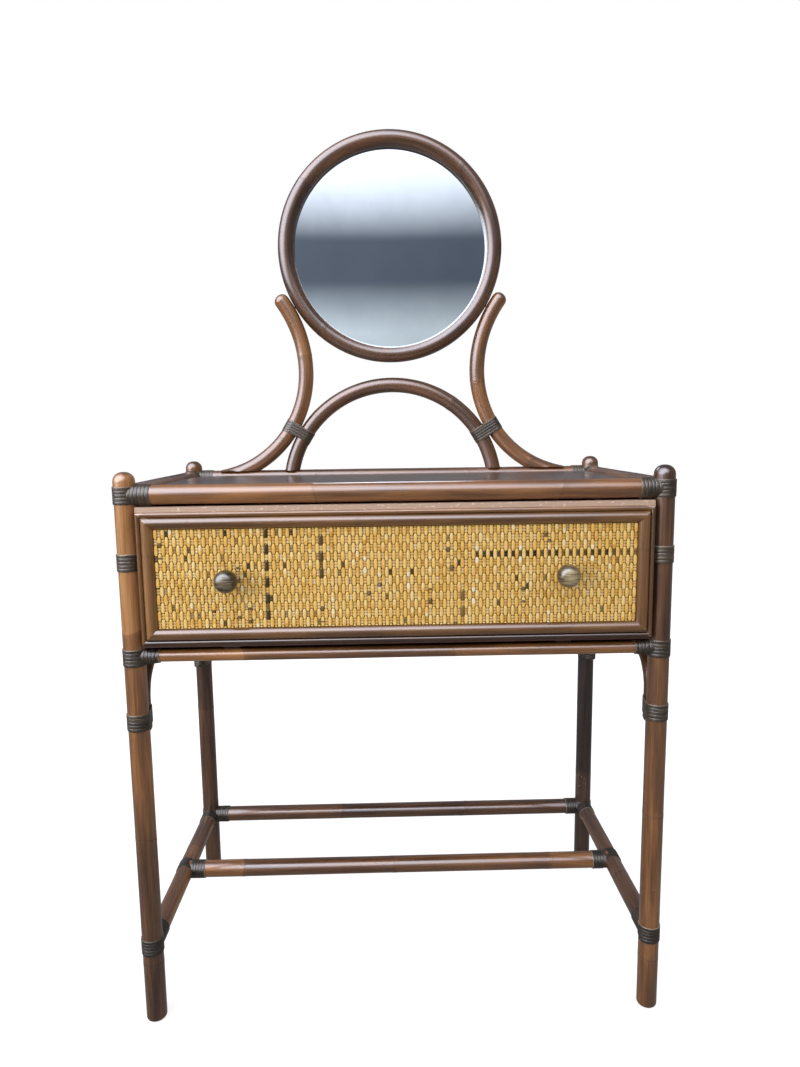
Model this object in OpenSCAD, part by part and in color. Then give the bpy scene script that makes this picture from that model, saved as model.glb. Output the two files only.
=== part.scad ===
// Rattan dressing table with one drawer and a round tilting mirror on a bent-pole stand.
// Millimetres. X runs left to right, Y from the front legs to the back, Z up from the floor.
// The modules are drawn about a point on the floor midway between the legs. The whole is
// then shifted in Y so that the origin lies on the floor at the middle of its overall depth.

/* [Legs] */
// Distance between the centre lines of the left and right legs
leg_span = 700; // [600:10:820]
// Distance between the centre lines of the front and back legs
leg_depth = 355; // [310:5:430]
// Height of the legs, floor to dome
leg_height = 772; // [690:1:850]
// Diameter of a leg pole
leg_d = 28; // [26:0.5:32]
// Radius of the rounding on the domed leg tops
leg_dome = 12.5; // [5:0.5:13]
// Radius of the rounding under the feet
foot_round = 4; // [1:0.5:6]

/* [Rails and stretchers] */
// Diameter of the four rails round the top
rail_d = 26; // [24:0.5:28]
// Height of the leg tops above the centre line of the top rails
leg_above_rail = 30; // [26:1:45]
// Diameter of the four thin rails under the drawer
low_rail_d = 16; // [14:0.5:20]
// Diameter of the stretchers
stretcher_d = 26; // [22:0.5:28]
// Height of the stretchers' centre lines above the floor
stretcher_z = 113; // [80:1:180]

/* [Corner braces] */
// Diameter of a bent corner brace
brace_d = 19; // [14:0.5:22]
// Radius of the brace's bend, to its centre line
brace_bend_r = 50; // [40:1:70]
// Drop from the thin rail to the lashing on a front leg
front_brace_drop = 89; // [85:1:130]
// Drop from the thin rail to the lashing on a back leg
back_brace_drop = 108; // [85:1:130]
// Length of the brace run along the underside of the thin rail
brace_run = 36; // [30:1:60]
// Length of the front brace's loose tip below its lashing
brace_tip = 14; // [6:1:20]

/* [Lashings] */
// Width of one turn of binding cane
strand_w = 4.6; // [3:0.1:6]
// Thickness of the binding cane
strand_t = 1.3; // [0.8:0.1:2]
// Turns in one lashing
turns = 5; // [3:1:7]
// Extra build-up of the lashings on the thin rails, next to the leg
build_up = 2.4; // [0:0.1:3.2]

/* [Top and carcass] */
// Thickness of the table top panel
top_t = 12; // [8:1:18]
// Height of the panel's face above the top rails' centre lines
top_above_centre = 5; // [2:1:9]
// Shadow gap between the panel and the rails
top_gap = 1.8; // [1.6:0.1:4]
// Thickness of the side boards
side_t = 6; // [4:1:9]
// Thickness of the woven skin
weave_t = 3; // [2:0.5:4]
// Thickness of the back board
back_t = 4; // [3:1:6]
// Thickness of the dust board between the thin rails
dust_t = 4; // [3:1:5]

/* [Drawer] */
// Height of the drawer front
drawer_h = 184; // [150:1:220]
// Gap between the top rail and the drawer front
drawer_top_gap = 2; // [2:0.5:6]
// Gap between the drawer front and the thin rail
drawer_low_gap = 7; // [4.5:0.5:12]
// Gap between the drawer front and the lashings on the legs
drawer_side_gap = 0.7; // [0.5:0.1:3]
// Gap between the drawer box and the back board
drawer_back_gap = 23; // [8:1:60]
// Thickness of the front board
front_t = 12; // [9:1:16]
// Reach of the front board's face in front of the legs' centre lines
front_out = 14; // [2:0.5:14]
// Thickness of the drawer sides and back
box_t = 10; // [8:1:14]
// Thickness of the drawer bottom
bottom_t = 5; // [3:1:8]
// Height of the drawer box
box_h = 168; // [120:1:172]
// Running clearance between the drawer and what carries or guides it
run_gap = 0.4; // [0.3:0.1:1]
// Diameter of the poles that the drawer slides on
runner_d = 24; // [20:1:28]
// Distance of each runner pole in from the side of the drawer box
runner_inset = 111; // [60:1:160]

/* [Drawer trim] */
// Width of the half-round moulding
moulding_w = 16; // [12:0.5:20]
// Width of the small outer bead
bead_w = 6.2; // [4:0.2:6.2]
// Height of the bead off the board
bead_t = 4.5; // [3.2:0.1:6]
// Bare strip of board above the top bead
top_margin = 6.5; // [0:0.5:10]
// Bare strip of board below the bottom bead
low_margin = 3.5; // [0:0.5:6]
// Diameter of a knob
knob_d = 30; // [24:1:38]
// Length of a knob
knob_len = 31; // [24:1:40]
// Distance of each knob in from the end of the drawer front
knob_inset = 116; // [80:1:200]
// Pitch of the woven columns
weave_pitch = 4.9; // [4:0.1:8]

/* [Mirror] */
// Outer diameter of the mirror hoop
hoop_d = 380; // [340:2:420]
// Diameter of the hoop's pole
hoop_tube_d = 27; // [24:0.5:30]
// Height of the hoop's centre above the top of the back rail
mirror_rise = 373; // [350:1:410]
// Thickness of the mirror glass
glass_t = 4; // [3:0.5:5]
// Width of the ledge that the glass lies on
ledge = 5; // [3:0.5:7]
// Set-back of the glass behind the hoop's centre plane
glass_y = 5; // [3:0.5:6]

/* [Mirror stand] */
// Diameter of the arms and of the arch
arm_d = 25.5; // [22:0.5:28]
// Bend radius of the arms beside the mirror
arm_bend_r = 205; // [180:1:240]
// Height of the arms' waist above the top of the back rail
waist_rise = 168.5; // [150:0.5:185]
// Length of arm beyond its contact with the hoop
arm_tip = 30; // [22:1:45]
// Slope of the arms where they meet the back rail
foot_slope = 10; // [7:0.5:14]
// Bend radius of the arch
arch_r = 180; // [168:1:195]
// Gap between the poles at their closest points
tie_gap = 0.5; // [0.4:0.1:1]
// Diameter of the mirror's pivot screws
pivot_d = 5; // [4:0.5:6]

/* [Hidden] */
$fn = 96;

stain = "#7a5234";
stain_light = "#9c7048";
stain_dark = "#3e2a1e";
cane_grey = "#4a4540";
straw = "#d8b45c";

// Rounds a derived length to a hundredth, so that the curves meet on whole values.
function mm(v) = round(v * 100) / 100;

leg_r = leg_d / 2;
rail_r = rail_d / 2;
low_r = low_rail_d / 2;
str_r = stretcher_d / 2;
brace_r = brace_d / 2;
leg_x = leg_span / 2;
leg_y = leg_depth / 2;
rail_z = leg_height - leg_above_rail;
rail_top = rail_z + rail_r;
low_z = rail_z - rail_r - drawer_top_gap - drawer_h - drawer_low_gap - low_r;
lash_h = turns * strand_w;
lash_tuck = 3;
lash_start = leg_r - lash_tuck;
groove_t = strand_t * 0.55;
band_sink = 0.06;
groove_depth = weave_t * 0.55;
mid_lash_z = (rail_z + low_z) / 2 + 20;
weave_margin = 4;
fit_gap = 0.3;

brace_gap = 0.4;
brace_z = low_z - low_r - brace_gap - brace_r;
brace_off = leg_r + brace_gap + brace_r;
brace_curl_r = 40;

panel_x = leg_x - rail_r - top_gap;
panel_y = leg_y - rail_r - top_gap;
top_z = rail_z + top_above_centre;
board_in = leg_x - side_t / 2;
carcass_clear = leg_r + strand_t + fit_gap;

front_face = -leg_y - front_out;
front_back = front_face + front_t;
drawer_z = low_z + low_r + drawer_low_gap;
front_half = leg_x - leg_r - strand_t - drawer_side_gap;
box_half = front_half - 1;
box_back = leg_y - back_t / 2 - drawer_back_gap;
box_top = drawer_z + box_h;
runner_r = runner_d / 2;
runner_x = box_half - runner_inset;
runner_z = drawer_z - run_gap - runner_r;
guide_h = 26;
bearer_w = 17;
moulding_r = moulding_w / 2;
trim_low = drawer_z + low_margin;
trim_high = drawer_z + drawer_h - top_margin;
trim_mid = (trim_low + trim_high) / 2;
bead_box = [2 * front_half, trim_high - trim_low];
mould_box = [bead_box[0] - 2 * bead_w, bead_box[1] - 2 * bead_w];
window = [mould_box[0] - 2 * moulding_w, mould_box[1] - 2 * moulding_w];
mitre_gap = 0.15;
knob_r = knob_d / 2;
knob_x = front_half - knob_inset;
knob_stem_r = 8;
knob_screw_d = 4;
knob_screw_grip = 14;
knob_screw_head_d = 9;
knob_screw_head_h = 2;
knob_base = front_face - weave_t;

hoop_r = hoop_d / 2;
tube_r = hoop_tube_d / 2;
hoop_mid = hoop_r - tube_r;
mirror_z = rail_top + mirror_rise;
glass_r = hoop_mid - sqrt(tube_r * tube_r - glass_y * glass_y) + ledge;
board_t = tube_r - glass_y - glass_t;
arm_r = arm_d / 2;
seat_z = rail_top - 1;
waist_z = rail_top + waist_rise;
bend_x = -mm(sqrt(pow(hoop_r + tie_gap + arm_r + arm_bend_r, 2) - pow(mirror_z - waist_z, 2)));
contact_a = atan2(mirror_z - waist_z, -bend_x);
tip_a = contact_a + arm_tip / arm_bend_r * 180 / PI;
foot_toe = 2;
flare_r = mm((waist_z - seat_z - foot_toe) / cos(foot_slope) + arm_r);
flare_x = bend_x + arm_bend_r - flare_r;
toe_x = flare_x + (flare_r - arm_r) * sin(foot_slope);
arch_z = waist_z - sqrt(pow(flare_r + 2 * arm_r + tie_gap + arch_r, 2) - flare_x * flare_x);
tie_a = atan2(waist_z - arch_z, -flare_x);
tie_reach = 2 * arm_r + tie_gap;
pivot_z = mirror_z - (hoop_r + tie_gap / 2) * sin(contact_a);
pivot_arm_x = bend_x + sqrt(pow(arm_bend_r, 2) - pow(pivot_z - waist_z, 2));
pivot_hoop_x = -sqrt(pow(hoop_mid, 2) - pow(mirror_z - pivot_z, 2));
pivot_head_r = 3.8;
pivot_head_h = 3.5;
pivot_seat_x = pivot_arm_x - 5;
pivot_end_x = pivot_hoop_x + 4;
button_t = 2;

front_reach = knob_base - knob_len;
back_reach = leg_y + max(tube_r + button_t, leg_r + strand_t);
shift_y = -(front_reach + back_reach) / 2;

module placed() {
    translate([0, shift_y, 0]) children();
}

module mirror_x() {
    mirror([1, 0, 0]) children();
}

module both_sides() {
    children();
    mirror_x() children();
}

module four_corners() {
    both_sides() {
        children();
        mirror([0, 1, 0]) children();
    }
}

module bar_x(y, z, r) {
    translate([-leg_x, y, z]) rotate([0, 90, 0]) cylinder(r = r, h = leg_span);
}

module bar_y(x, z, r) {
    translate([x, -leg_y, z]) rotate([-90, 0, 0]) cylinder(r = r, h = leg_depth);
}

module round_end(r, rounding) {
    rotate_extrude() {
        square([r - rounding, rounding]);
        intersection() {
            translate([r - rounding, 0]) circle(r = rounding);
            square([r, rounding]);
        }
    }
}

module leg(x, y) {
    color(stain) translate([x, y, 0]) {
        translate([0, 0, foot_round]) mirror([0, 0, 1]) round_end(leg_r, foot_round);
        translate([0, 0, foot_round]) cylinder(r = leg_r, h = leg_height - leg_dome - foot_round);
        translate([0, 0, leg_height - leg_dome]) round_end(leg_r, leg_dome);
    }
}

module leg_bores(clear = 0) {
    four_corners()
        translate([-leg_x, -leg_y, -1]) cylinder(r = leg_r + clear, h = leg_height + 2);
}

module front_back_rail(side, z, r) {
    color(stain) difference() {
        bar_x(side * leg_y, z, r);
        leg_bores();
    }
}

module side_rail(side, z, r) {
    color(stain) difference() {
        bar_y(side * leg_x, z, r);
        leg_bores();
        for (end = [-1, 1]) bar_x(end * leg_y, z, r);
    }
}

module side_stretcher(side) {
    color(stain) difference() {
        bar_y(side * leg_x, stretcher_z, str_r);
        leg_bores();
        bar_x(leg_y, stretcher_z, str_r);
    }
}

module middle_stretcher() {
    color(stain) difference() {
        bar_x(0, stretcher_z, str_r);
        for (side = [-1, 1]) bar_y(side * leg_x, stretcher_z, str_r);
    }
}

// One lashing wound round a pole of radius r, starting at its base and running up.
// Its turns can be built up by lift at the start, falling to nothing at the end.
module wound_profile(r, lift = 0) {
    for (i = [0 : turns - 1]) {
        step = lift * (1 - i / turns);
        translate([0, i * strand_w]) polygon([
            [r - 0.5, 0], [r + step + groove_t, 0], [r + step + strand_t, strand_w * 0.25],
            [r + step + strand_t, strand_w * 0.75], [r + step + groove_t, strand_w],
            [r - 0.5, strand_w]
        ]);
    }
}

module winding(r, lift = 0) {
    rotate_extrude() wound_profile(r, lift);
}

// Lashing at a leg, drawn for the front left leg at the origin, with a pole leaving
// along +X and one along +Y. A radius of 0 leaves that pole out.
module corner_lashing(z, x_r, y_r, lift = 0) {
    translate([0, 0, z]) difference() {
        union() {
            translate([0, 0, -lash_h / 2]) winding(leg_r);
            if (x_r > 0) translate([lash_start, 0, 0]) rotate([0, 90, 0]) winding(x_r, lift);
            if (y_r > 0) translate([0, lash_start, 0]) rotate([-90, 0, 0]) winding(y_r, lift);
        }
        translate([0, 0, -lash_h * 2]) cylinder(r = leg_r, h = lash_h * 4);
        if (x_r > 0) rotate([0, 90, 0]) cylinder(r = x_r, h = leg_span / 4);
        if (y_r > 0) rotate([-90, 0, 0]) cylinder(r = y_r, h = leg_span / 4);
    }
}

// Plain envelope of the same lashing, used to keep the boards clear of it.
module corner_lashing_space(z, x_r, y_r, lift = 0) {
    grow = strand_t + lift + fit_gap;
    translate([0, 0, z]) {
        translate([0, 0, -lash_h / 2 - fit_gap])
            cylinder(r = leg_r + strand_t + fit_gap, h = lash_h + 2 * fit_gap);
        rotate([0, 90, 0]) cylinder(r = x_r + grow, h = lash_start + lash_h + fit_gap);
        rotate([-90, 0, 0]) cylinder(r = y_r + grow, h = lash_start + lash_h + fit_gap);
    }
}

module at_corner() {
    translate([-leg_x, -leg_y, 0]) children();
}

module top_corner_lashings() {
    color(cane_grey) four_corners() at_corner() corner_lashing(rail_z, rail_r, rail_r);
}

module lower_corner_lashings() {
    color(cane_grey) four_corners() at_corner() corner_lashing(low_z, low_r, low_r, build_up);
}

module mid_leg_lashings() {
    color(cane_grey) both_sides() at_corner() corner_lashing(mid_lash_z, 0, 0);
}

module stretcher_lashings() {
    color(cane_grey) both_sides() {
        at_corner() corner_lashing(stretcher_z, 0, str_r);
        mirror([0, 1, 0]) at_corner() corner_lashing(stretcher_z, str_r, str_r);
    }
}

module middle_stretcher_lashings() {
    color(cane_grey) both_sides() translate([-leg_x, 0, stretcher_z]) difference() {
        union() {
            translate([0, lash_h / 2, 0]) rotate([90, 0, 0]) winding(str_r);
            translate([str_r - lash_tuck, 0, 0]) rotate([0, 90, 0]) winding(str_r);
        }
        translate([0, leg_y / 2, 0]) rotate([90, 0, 0]) cylinder(r = str_r, h = leg_y);
        rotate([0, 90, 0]) cylinder(r = str_r, h = leg_span / 4);
    }
}

// Outline of a band drawn round two side by side poles, the second one at distance d along +Y.
// Its straight sides cross the two circles a hair inside the common tangents.
module band_outline(r1, r2, d, t) {
    s = (r1 - r2) / d;
    c = sqrt(1 - s * s);
    w1 = r1 + t - band_sink;
    w2 = r2 + t - band_sink;
    circle(r = r1 + t);
    translate([0, d]) circle(r = r2 + t);
    polygon([
        [w1 * c, w1 * s], [w2 * c, d + w2 * s], [-w2 * c, d + w2 * s], [-w1 * c, w1 * s]
    ]);
}

// The same band wound up in turns, centred on z = 0, before the poles are cut from it.
module band(r1, r2, d) {
    translate([0, 0, -lash_h / 2]) {
        linear_extrude(lash_h) band_outline(r1, r2, d, groove_t);
        for (i = [0 : turns - 1])
            translate([0, 0, (i + 0.2) * strand_w])
                linear_extrude(strand_w * 0.6) band_outline(r1, r2, d, strand_t);
    }
}

// Arc of pole in the XZ plane about the origin, from angle a0 to a1 measured from +X.
module pole_arc(bend_r, r, a0, a1) {
    rotate([90, 0, 0]) rotate([0, 0, a0])
        rotate_extrude(angle = a1 - a0) translate([bend_r, 0]) circle(r = r);
}

// What is cut off a bent pole's end to leave a dome on it. The pole runs up along Z.
module tip_waste(r) {
    difference() {
        translate([-2 * r, -2 * r, 0]) cube([4 * r, 4 * r, 4 * r]);
        sphere(r = r * 1.12);
    }
}

// Corner brace in its own frame: leg axis at the origin, thin rail running along +X.
module brace_shape(drop, tip) {
    tip_curl = max(tip - brace_r, 0) / brace_curl_r * 180 / PI;
    foot_z = low_z - drop;
    tip_z = foot_z - lash_h / 2;
    arc_z = brace_z - brace_bend_r;
    run_x = brace_off + brace_bend_r;
    translate([brace_off, 0, tip_z]) cylinder(r = brace_r, h = arc_z - tip_z);
    translate([run_x, 0, arc_z]) pole_arc(brace_bend_r, brace_r, 90, 180);
    translate([run_x, 0, brace_z]) rotate([0, 90, 0]) {
        cylinder(r = brace_r, h = brace_run);
        translate([0, 0, brace_run]) round_end(brace_r, 3);
    }
    if (tip > 0) translate([brace_off + brace_curl_r, 0, tip_z]) difference() {
        pole_arc(brace_curl_r, brace_r, 180, 215 + tip_curl);
        rotate([0, -tip_curl, 0]) translate([-brace_curl_r, 0, 0])
            mirror([0, 0, 1]) tip_waste(brace_r);
    }
}

// Places children drawn in the brace's frame at a front or back leg.
module brace_place(end) {
    translate([-leg_x, end * leg_y, 0]) rotate([0, 0, -end * 90]) children();
}

module corner_brace(end) {
    drop = end < 0 ? front_brace_drop : back_brace_drop;
    color(stain_dark) brace_place(end) brace_shape(drop, end < 0 ? brace_tip : 0);
}

module brace_leg_lashing(drop) {
    difference() {
        translate([0, 0, low_z - drop]) rotate([0, 0, -90]) band(leg_r, brace_r, brace_off);
        translate([0, 0, low_z - drop - lash_h]) cylinder(r = leg_r, h = 2 * lash_h);
        translate([brace_off, 0, low_z - drop - lash_h]) cylinder(r = brace_r, h = 2 * lash_h);
    }
}

module brace_rail_lashing() {
    reach = low_r + brace_gap + brace_r;
    x = brace_off + brace_bend_r + brace_run - lash_h / 2;
    translate([x, 0, 0]) difference() {
        translate([0, 0, low_z]) rotate([0, 90, 0]) rotate([0, 0, -90]) band(low_r, brace_r, reach);
        translate([-lash_h, 0, low_z]) rotate([0, 90, 0]) cylinder(r = low_r, h = 2 * lash_h);
        translate([-lash_h, 0, brace_z]) rotate([0, 90, 0]) cylinder(r = brace_r, h = 2 * lash_h);
    }
}

module brace_leg_lashings() {
    color(cane_grey) both_sides() {
        brace_place(-1) brace_leg_lashing(front_brace_drop);
        brace_place(1) brace_leg_lashing(back_brace_drop);
    }
}

module brace_rail_lashings() {
    color(cane_grey) both_sides() for (end = [-1, 1]) brace_place(end) brace_rail_lashing();
}

module tabletop() {
    color("#5f5a56") translate([-panel_x, -panel_y, top_z - top_t])
        cube([2 * panel_x, 2 * panel_y, top_t]);
}

// Everything that the boards between the legs have to stay clear of.
module carcass_space() {
    leg_bores(strand_t + fit_gap);
    four_corners() at_corner() {
        corner_lashing_space(rail_z, rail_r, rail_r);
        corner_lashing_space(low_z, low_r, low_r, build_up);
    }
    both_sides() {
        for (end = [-1, 1]) brace_place(end)
            translate([brace_off + brace_bend_r - fit_gap, 0, low_z]) rotate([0, 90, 0])
                cylinder(r = low_r + strand_t + fit_gap, h = brace_run + 2 * fit_gap);
        bar_y(-leg_x, rail_z, rail_r);
        bar_y(-leg_x, low_z, low_r);
    }
    for (side = [-1, 1]) {
        bar_x(side * leg_y, rail_z, rail_r);
        bar_x(side * leg_y, low_z, low_r);
    }
}

module side_panel() {
    color(stain_light) difference() {
        translate([-leg_x - side_t / 2, -leg_y, low_z]) cube([side_t, leg_depth, rail_z - low_z]);
        carcass_space();
    }
}

// Woven skin on the outer face of a side board, inside the frame of poles.
module side_weave() {
    edge = leg_r + strand_t + weave_margin;
    low = low_z + low_r + weave_margin;
    high = rail_z - rail_r - weave_margin;
    count = floor((leg_depth - 2 * edge) / weave_pitch);
    color(straw) translate([-leg_x - side_t / 2, 0, low])
        weave_skin(count, weave_pitch, high - low);
}

// Ribbed sheet of woven columns, facing -X, centred on Y.
module weave_skin(count, pitch, h) {
    half = count * pitch / 2;
    rib = [[-groove_depth, 0], [-weave_t, 0.25], [-weave_t, 0.75], [-groove_depth, 1]];
    linear_extrude(h) polygon(concat(
        [[0, half], [0, -half]],
        [for (i = [0 : count - 1], p = rib) [p[0], (i + p[1]) * pitch - half]]
    ));
}

module back_panel() {
    color(stain_light) difference() {
        translate([-leg_x, leg_y - back_t / 2, low_z]) cube([leg_span, back_t, rail_z - low_z]);
        carcass_space();
    }
}

// Board under the drawer, let in between the thin rails and cut round the runner poles.
module dust_board() {
    color(stain_light) difference() {
        translate([-leg_x, -leg_y, low_z - dust_t / 2]) cube([leg_span, leg_depth, dust_t]);
        carcass_space();
        for (side = [-1, 1]) translate([side * runner_x, -leg_y, runner_z]) rotate([-90, 0, 0])
            cylinder(r = runner_r, h = leg_depth);
    }
}

module drawer_runner(side) {
    color(stain_dark) difference() {
        translate([side * runner_x, -leg_y + low_r / 2, runner_z]) rotate([-90, 0, 0])
            cylinder(r = runner_r, h = leg_depth - low_r - back_t / 2);
        for (end = [-1, 1]) bar_x(end * leg_y, low_z, low_r);
    }
}

module drawer_guides() {
    reach = leg_depth - 2 * carcass_clear - 2;
    color(stain_light) both_sides()
        translate([-board_in, -reach / 2, drawer_z + bottom_t])
            cube([board_in - box_half - run_gap, reach, guide_h]);
}

module top_bearers() {
    reach = leg_depth - 2 * carcass_clear - 2;
    shelf = board_in - panel_x;
    low = box_top + run_gap;
    color(stain_light) both_sides() translate([-board_in, -reach / 2, 0]) {
        translate([0, 0, low]) cube([shelf, reach, rail_z - rail_r - 2 - low]);
        translate([shelf, 0, low]) cube([bearer_w, reach, top_z - top_t - low]);
    }
}

// Drawer parts
module knob_holes(from, to) {
    for (side = [-1, 1]) translate([side * knob_x, from, trim_mid]) rotate([-90, 0, 0])
        cylinder(d = knob_screw_d, h = to - from);
}

module drawer_front() {
    color(stain_light) difference() {
        translate([-front_half, front_face, drawer_z]) cube([2 * front_half, front_t, drawer_h]);
        knob_holes(front_face - 1, front_back + 1);
    }
}

module drawer_weave() {
    count = floor((window[0] - 1) / weave_pitch);
    pitch = (window[0] - 1) / count;
    color(straw) difference() {
        translate([0, front_face, trim_mid - window[1] / 2 + 0.5]) rotate([0, 0, 90])
            weave_skin(count, pitch, window[1] - 1);
        knob_holes(front_face - weave_t - 1, front_face + 1);
    }
}

// Mitred piece of trim along the bottom of a w by h frame that faces -Y.
module mitred_bar(w, h, bar_w) {
    inset = mitre_gap;
    intersection() {
        translate([-w / 2, 0, -h / 2]) rotate([0, 90, 0]) linear_extrude(w) children();
        translate([0, 10, 0]) rotate([90, 0, 0]) linear_extrude(30) polygon([
            [-w / 2 + inset, -h / 2], [w / 2 - inset, -h / 2],
            [w / 2 - bar_w - inset, -h / 2 + bar_w], [-w / 2 + bar_w + inset, -h / 2 + bar_w]
        ]);
    }
}

// Half-round section, flat on Y = 0, bulging to -Y, spanning X from -2r to 0.
module half_round(r) {
    intersection() {
        translate([-r, 0]) circle(r = r);
        translate([-2 * r, -r]) square([2 * r, r]);
    }
}

module bead_section() {
    r = bead_w / 2;
    translate([-bead_w, r - bead_t]) square([bead_w, bead_t - r]);
    intersection() {
        translate([-r, r - bead_t]) circle(r = r);
        translate([-bead_w, -bead_t]) square([bead_w, r]);
    }
}

module on_front() {
    translate([0, front_face, trim_mid]) children();
}

module drawer_half_round_rails() {
    color(stain_light) on_front() for (turn = [0, 180]) rotate([0, turn, 0])
        mitred_bar(mould_box[0], mould_box[1], moulding_w) half_round(moulding_r);
}

module drawer_half_round_stiles() {
    color(stain_light) on_front() for (turn = [90, 270]) rotate([0, turn, 0])
        mitred_bar(mould_box[1], mould_box[0], moulding_w) half_round(moulding_r);
}

module drawer_beads() {
    color(stain_light) on_front() {
        for (turn = [0, 180]) rotate([0, turn, 0])
            mitred_bar(bead_box[0], bead_box[1], bead_w) bead_section();
        for (turn = [90, 270]) rotate([0, turn, 0])
            mitred_bar(bead_box[1], bead_box[0], bead_w) bead_section();
    }
}

module drawer_bottom() {
    color(stain_light) translate([-box_half, front_back, drawer_z])
        cube([2 * box_half, box_back - front_back, bottom_t]);
}

module drawer_side() {
    color(stain_light) translate([-box_half, front_back, drawer_z + bottom_t])
        cube([box_t, box_back - front_back, box_h - bottom_t]);
}

module drawer_back() {
    color(stain_light) translate([-box_half + box_t, box_back - box_t, drawer_z + bottom_t])
        cube([2 * (box_half - box_t), box_t, box_h - bottom_t]);
}

module knob(side) {
    face_r = knob_r * 1.6;
    color("#4b4038") translate([side * knob_x, knob_base, trim_mid]) rotate([90, 0, 0])
        difference() {
            rotate_extrude() {
                square([knob_stem_r, knob_len / 2]);
                intersection() {
                    translate([0, knob_len - knob_r + 2]) circle(r = knob_r);
                    translate([0, knob_len - face_r]) circle(r = face_r);
                    square([knob_r, knob_len]);
                }
            }
            translate([0, 0, -1]) cylinder(d = knob_screw_d, h = knob_len / 2 + 1);
        }
}

module knob_screws() {
    thread = front_back - knob_base + knob_screw_grip;
    color("#8c8a86") for (side = [-1, 1]) translate([side * knob_x, front_back, trim_mid])
        rotate([90, 0, 0]) {
            cylinder(d = knob_screw_d, h = thread);
            translate([0, 0, -knob_screw_head_h])
                cylinder(d = knob_screw_head_d, h = knob_screw_head_h);
        }
}

// Mirror stand
module arm_pole() {
    translate([bend_x, leg_y, waist_z]) difference() {
        pole_arc(arm_bend_r, arm_r, 0, tip_a + 10);
        rotate([0, -tip_a, 0]) translate([arm_bend_r, 0, 0]) tip_waste(arm_r);
    }
    translate([flare_x, leg_y, waist_z]) pole_arc(flare_r, arm_r, -90, 0);
}

module mirror_arm() {
    color(stain) difference() {
        arm_pole();
        translate([-leg_span, leg_y - leg_span, seat_z - leg_span])
            cube([2 * leg_span, 2 * leg_span, leg_span]);
        translate([toe_x - leg_span, leg_y - leg_span, 0]) cube([leg_span, 2 * leg_span, waist_z]);
        bar_x(leg_y, rail_z, rail_r);
        translate([pivot_arm_x - 3 * arm_r, leg_y, pivot_z]) rotate([0, 90, 0])
            cylinder(r = pivot_head_r + 0.2, h = pivot_seat_x - pivot_arm_x + 3 * arm_r);
        translate([pivot_arm_x - 3 * arm_r, leg_y, pivot_z]) rotate([0, 90, 0])
            cylinder(d = pivot_d + 0.1, h = 6 * arm_r);
    }
}

module mirror_arch() {
    color(stain) difference() {
        translate([0, leg_y, arch_z]) pole_arc(arch_r, arm_r, -20, 200);
        translate([-leg_span, leg_y - leg_span, seat_z - leg_span])
            cube([2 * leg_span, 2 * leg_span, leg_span]);
        bar_x(leg_y, rail_z, rail_r);
    }
}

module mirror_stand_lashings() {
    color(cane_grey) both_sides() difference() {
        translate([-arch_r * cos(tie_a), leg_y, arch_z + arch_r * sin(tie_a)])
            rotate([0, tie_a, 0]) rotate([0, 0, 90]) band(arm_r, arm_r, tie_reach);
        translate([flare_x, leg_y, waist_z]) pole_arc(flare_r, arm_r, -90, 0);
        translate([0, leg_y, arch_z]) pole_arc(arch_r, arm_r, 90, 180);
    }
}

// Mirror parts
module facing_back(y) {
    translate([0, leg_y + y, mirror_z]) rotate([-90, 0, 0]) children();
}

module pivot_bore(d) {
    translate([pivot_hoop_x - 2 * tube_r, leg_y, pivot_z]) rotate([0, 90, 0])
        cylinder(d = d, h = pivot_end_x - pivot_hoop_x + 2 * tube_r);
}

module mirror_hoop() {
    color(stain) difference() {
        facing_back(0) rotate_extrude() translate([hoop_mid, 0]) circle(r = tube_r);
        facing_back(glass_y) cylinder(r = glass_r, h = tube_r);
        both_sides() pivot_bore(pivot_d);
    }
}

module mirror_glass() {
    color("#c9d2d6") facing_back(glass_y) cylinder(r = glass_r - 0.4, h = glass_t);
}

module mirror_backboard() {
    color(stain_light) facing_back(glass_y + glass_t) cylinder(r = glass_r - 0.4, h = board_t);
}

module mirror_turn_buttons() {
    color("#9a8a5c") for (turn = [45 : 90 : 315])
        facing_back(tube_r) rotate([0, 0, turn]) translate([hoop_mid, 0, 0]) {
            cylinder(r = 5, h = button_t);
            translate([-18, -5, 0]) cube([18, 10, button_t]);
            translate([-18, 0, 0]) cylinder(r = 5, h = button_t);
        }
}

module mirror_pivot_screws() {
    under_head = pivot_seat_x - fit_gap;
    color("#8c8a86") both_sides() translate([under_head, leg_y, pivot_z]) rotate([0, 90, 0]) {
        cylinder(d = pivot_d, h = pivot_end_x - under_head);
        translate([0, 0, -pivot_head_h]) cylinder(r = pivot_head_r, h = pivot_head_h);
    }
}

placed() leg(-leg_x, -leg_y);  // front_leg_left
placed() leg(leg_x, -leg_y);  // front_leg_right
placed() leg(-leg_x, leg_y);  // back_leg_left
placed() leg(leg_x, leg_y);  // back_leg_right
placed() front_back_rail(-1, rail_z, rail_r);  // top_front_rail
placed() front_back_rail(1, rail_z, rail_r);  // top_back_rail
placed() side_rail(-1, rail_z, rail_r);  // top_side_rail_left
placed() side_rail(1, rail_z, rail_r);  // top_side_rail_right
placed() front_back_rail(-1, low_z, low_r);  // lower_front_rail
placed() front_back_rail(1, low_z, low_r);  // lower_back_rail
placed() side_rail(-1, low_z, low_r);  // lower_side_rail_left
placed() side_rail(1, low_z, low_r);  // lower_side_rail_right
placed() side_stretcher(-1);  // side_stretcher_left
placed() side_stretcher(1);  // side_stretcher_right
placed() middle_stretcher();
placed() front_back_rail(1, stretcher_z, str_r);  // back_stretcher
placed() corner_brace(-1);  // front_brace_left
placed() mirror_x() corner_brace(-1);  // front_brace_right
placed() corner_brace(1);  // back_brace_left
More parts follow.
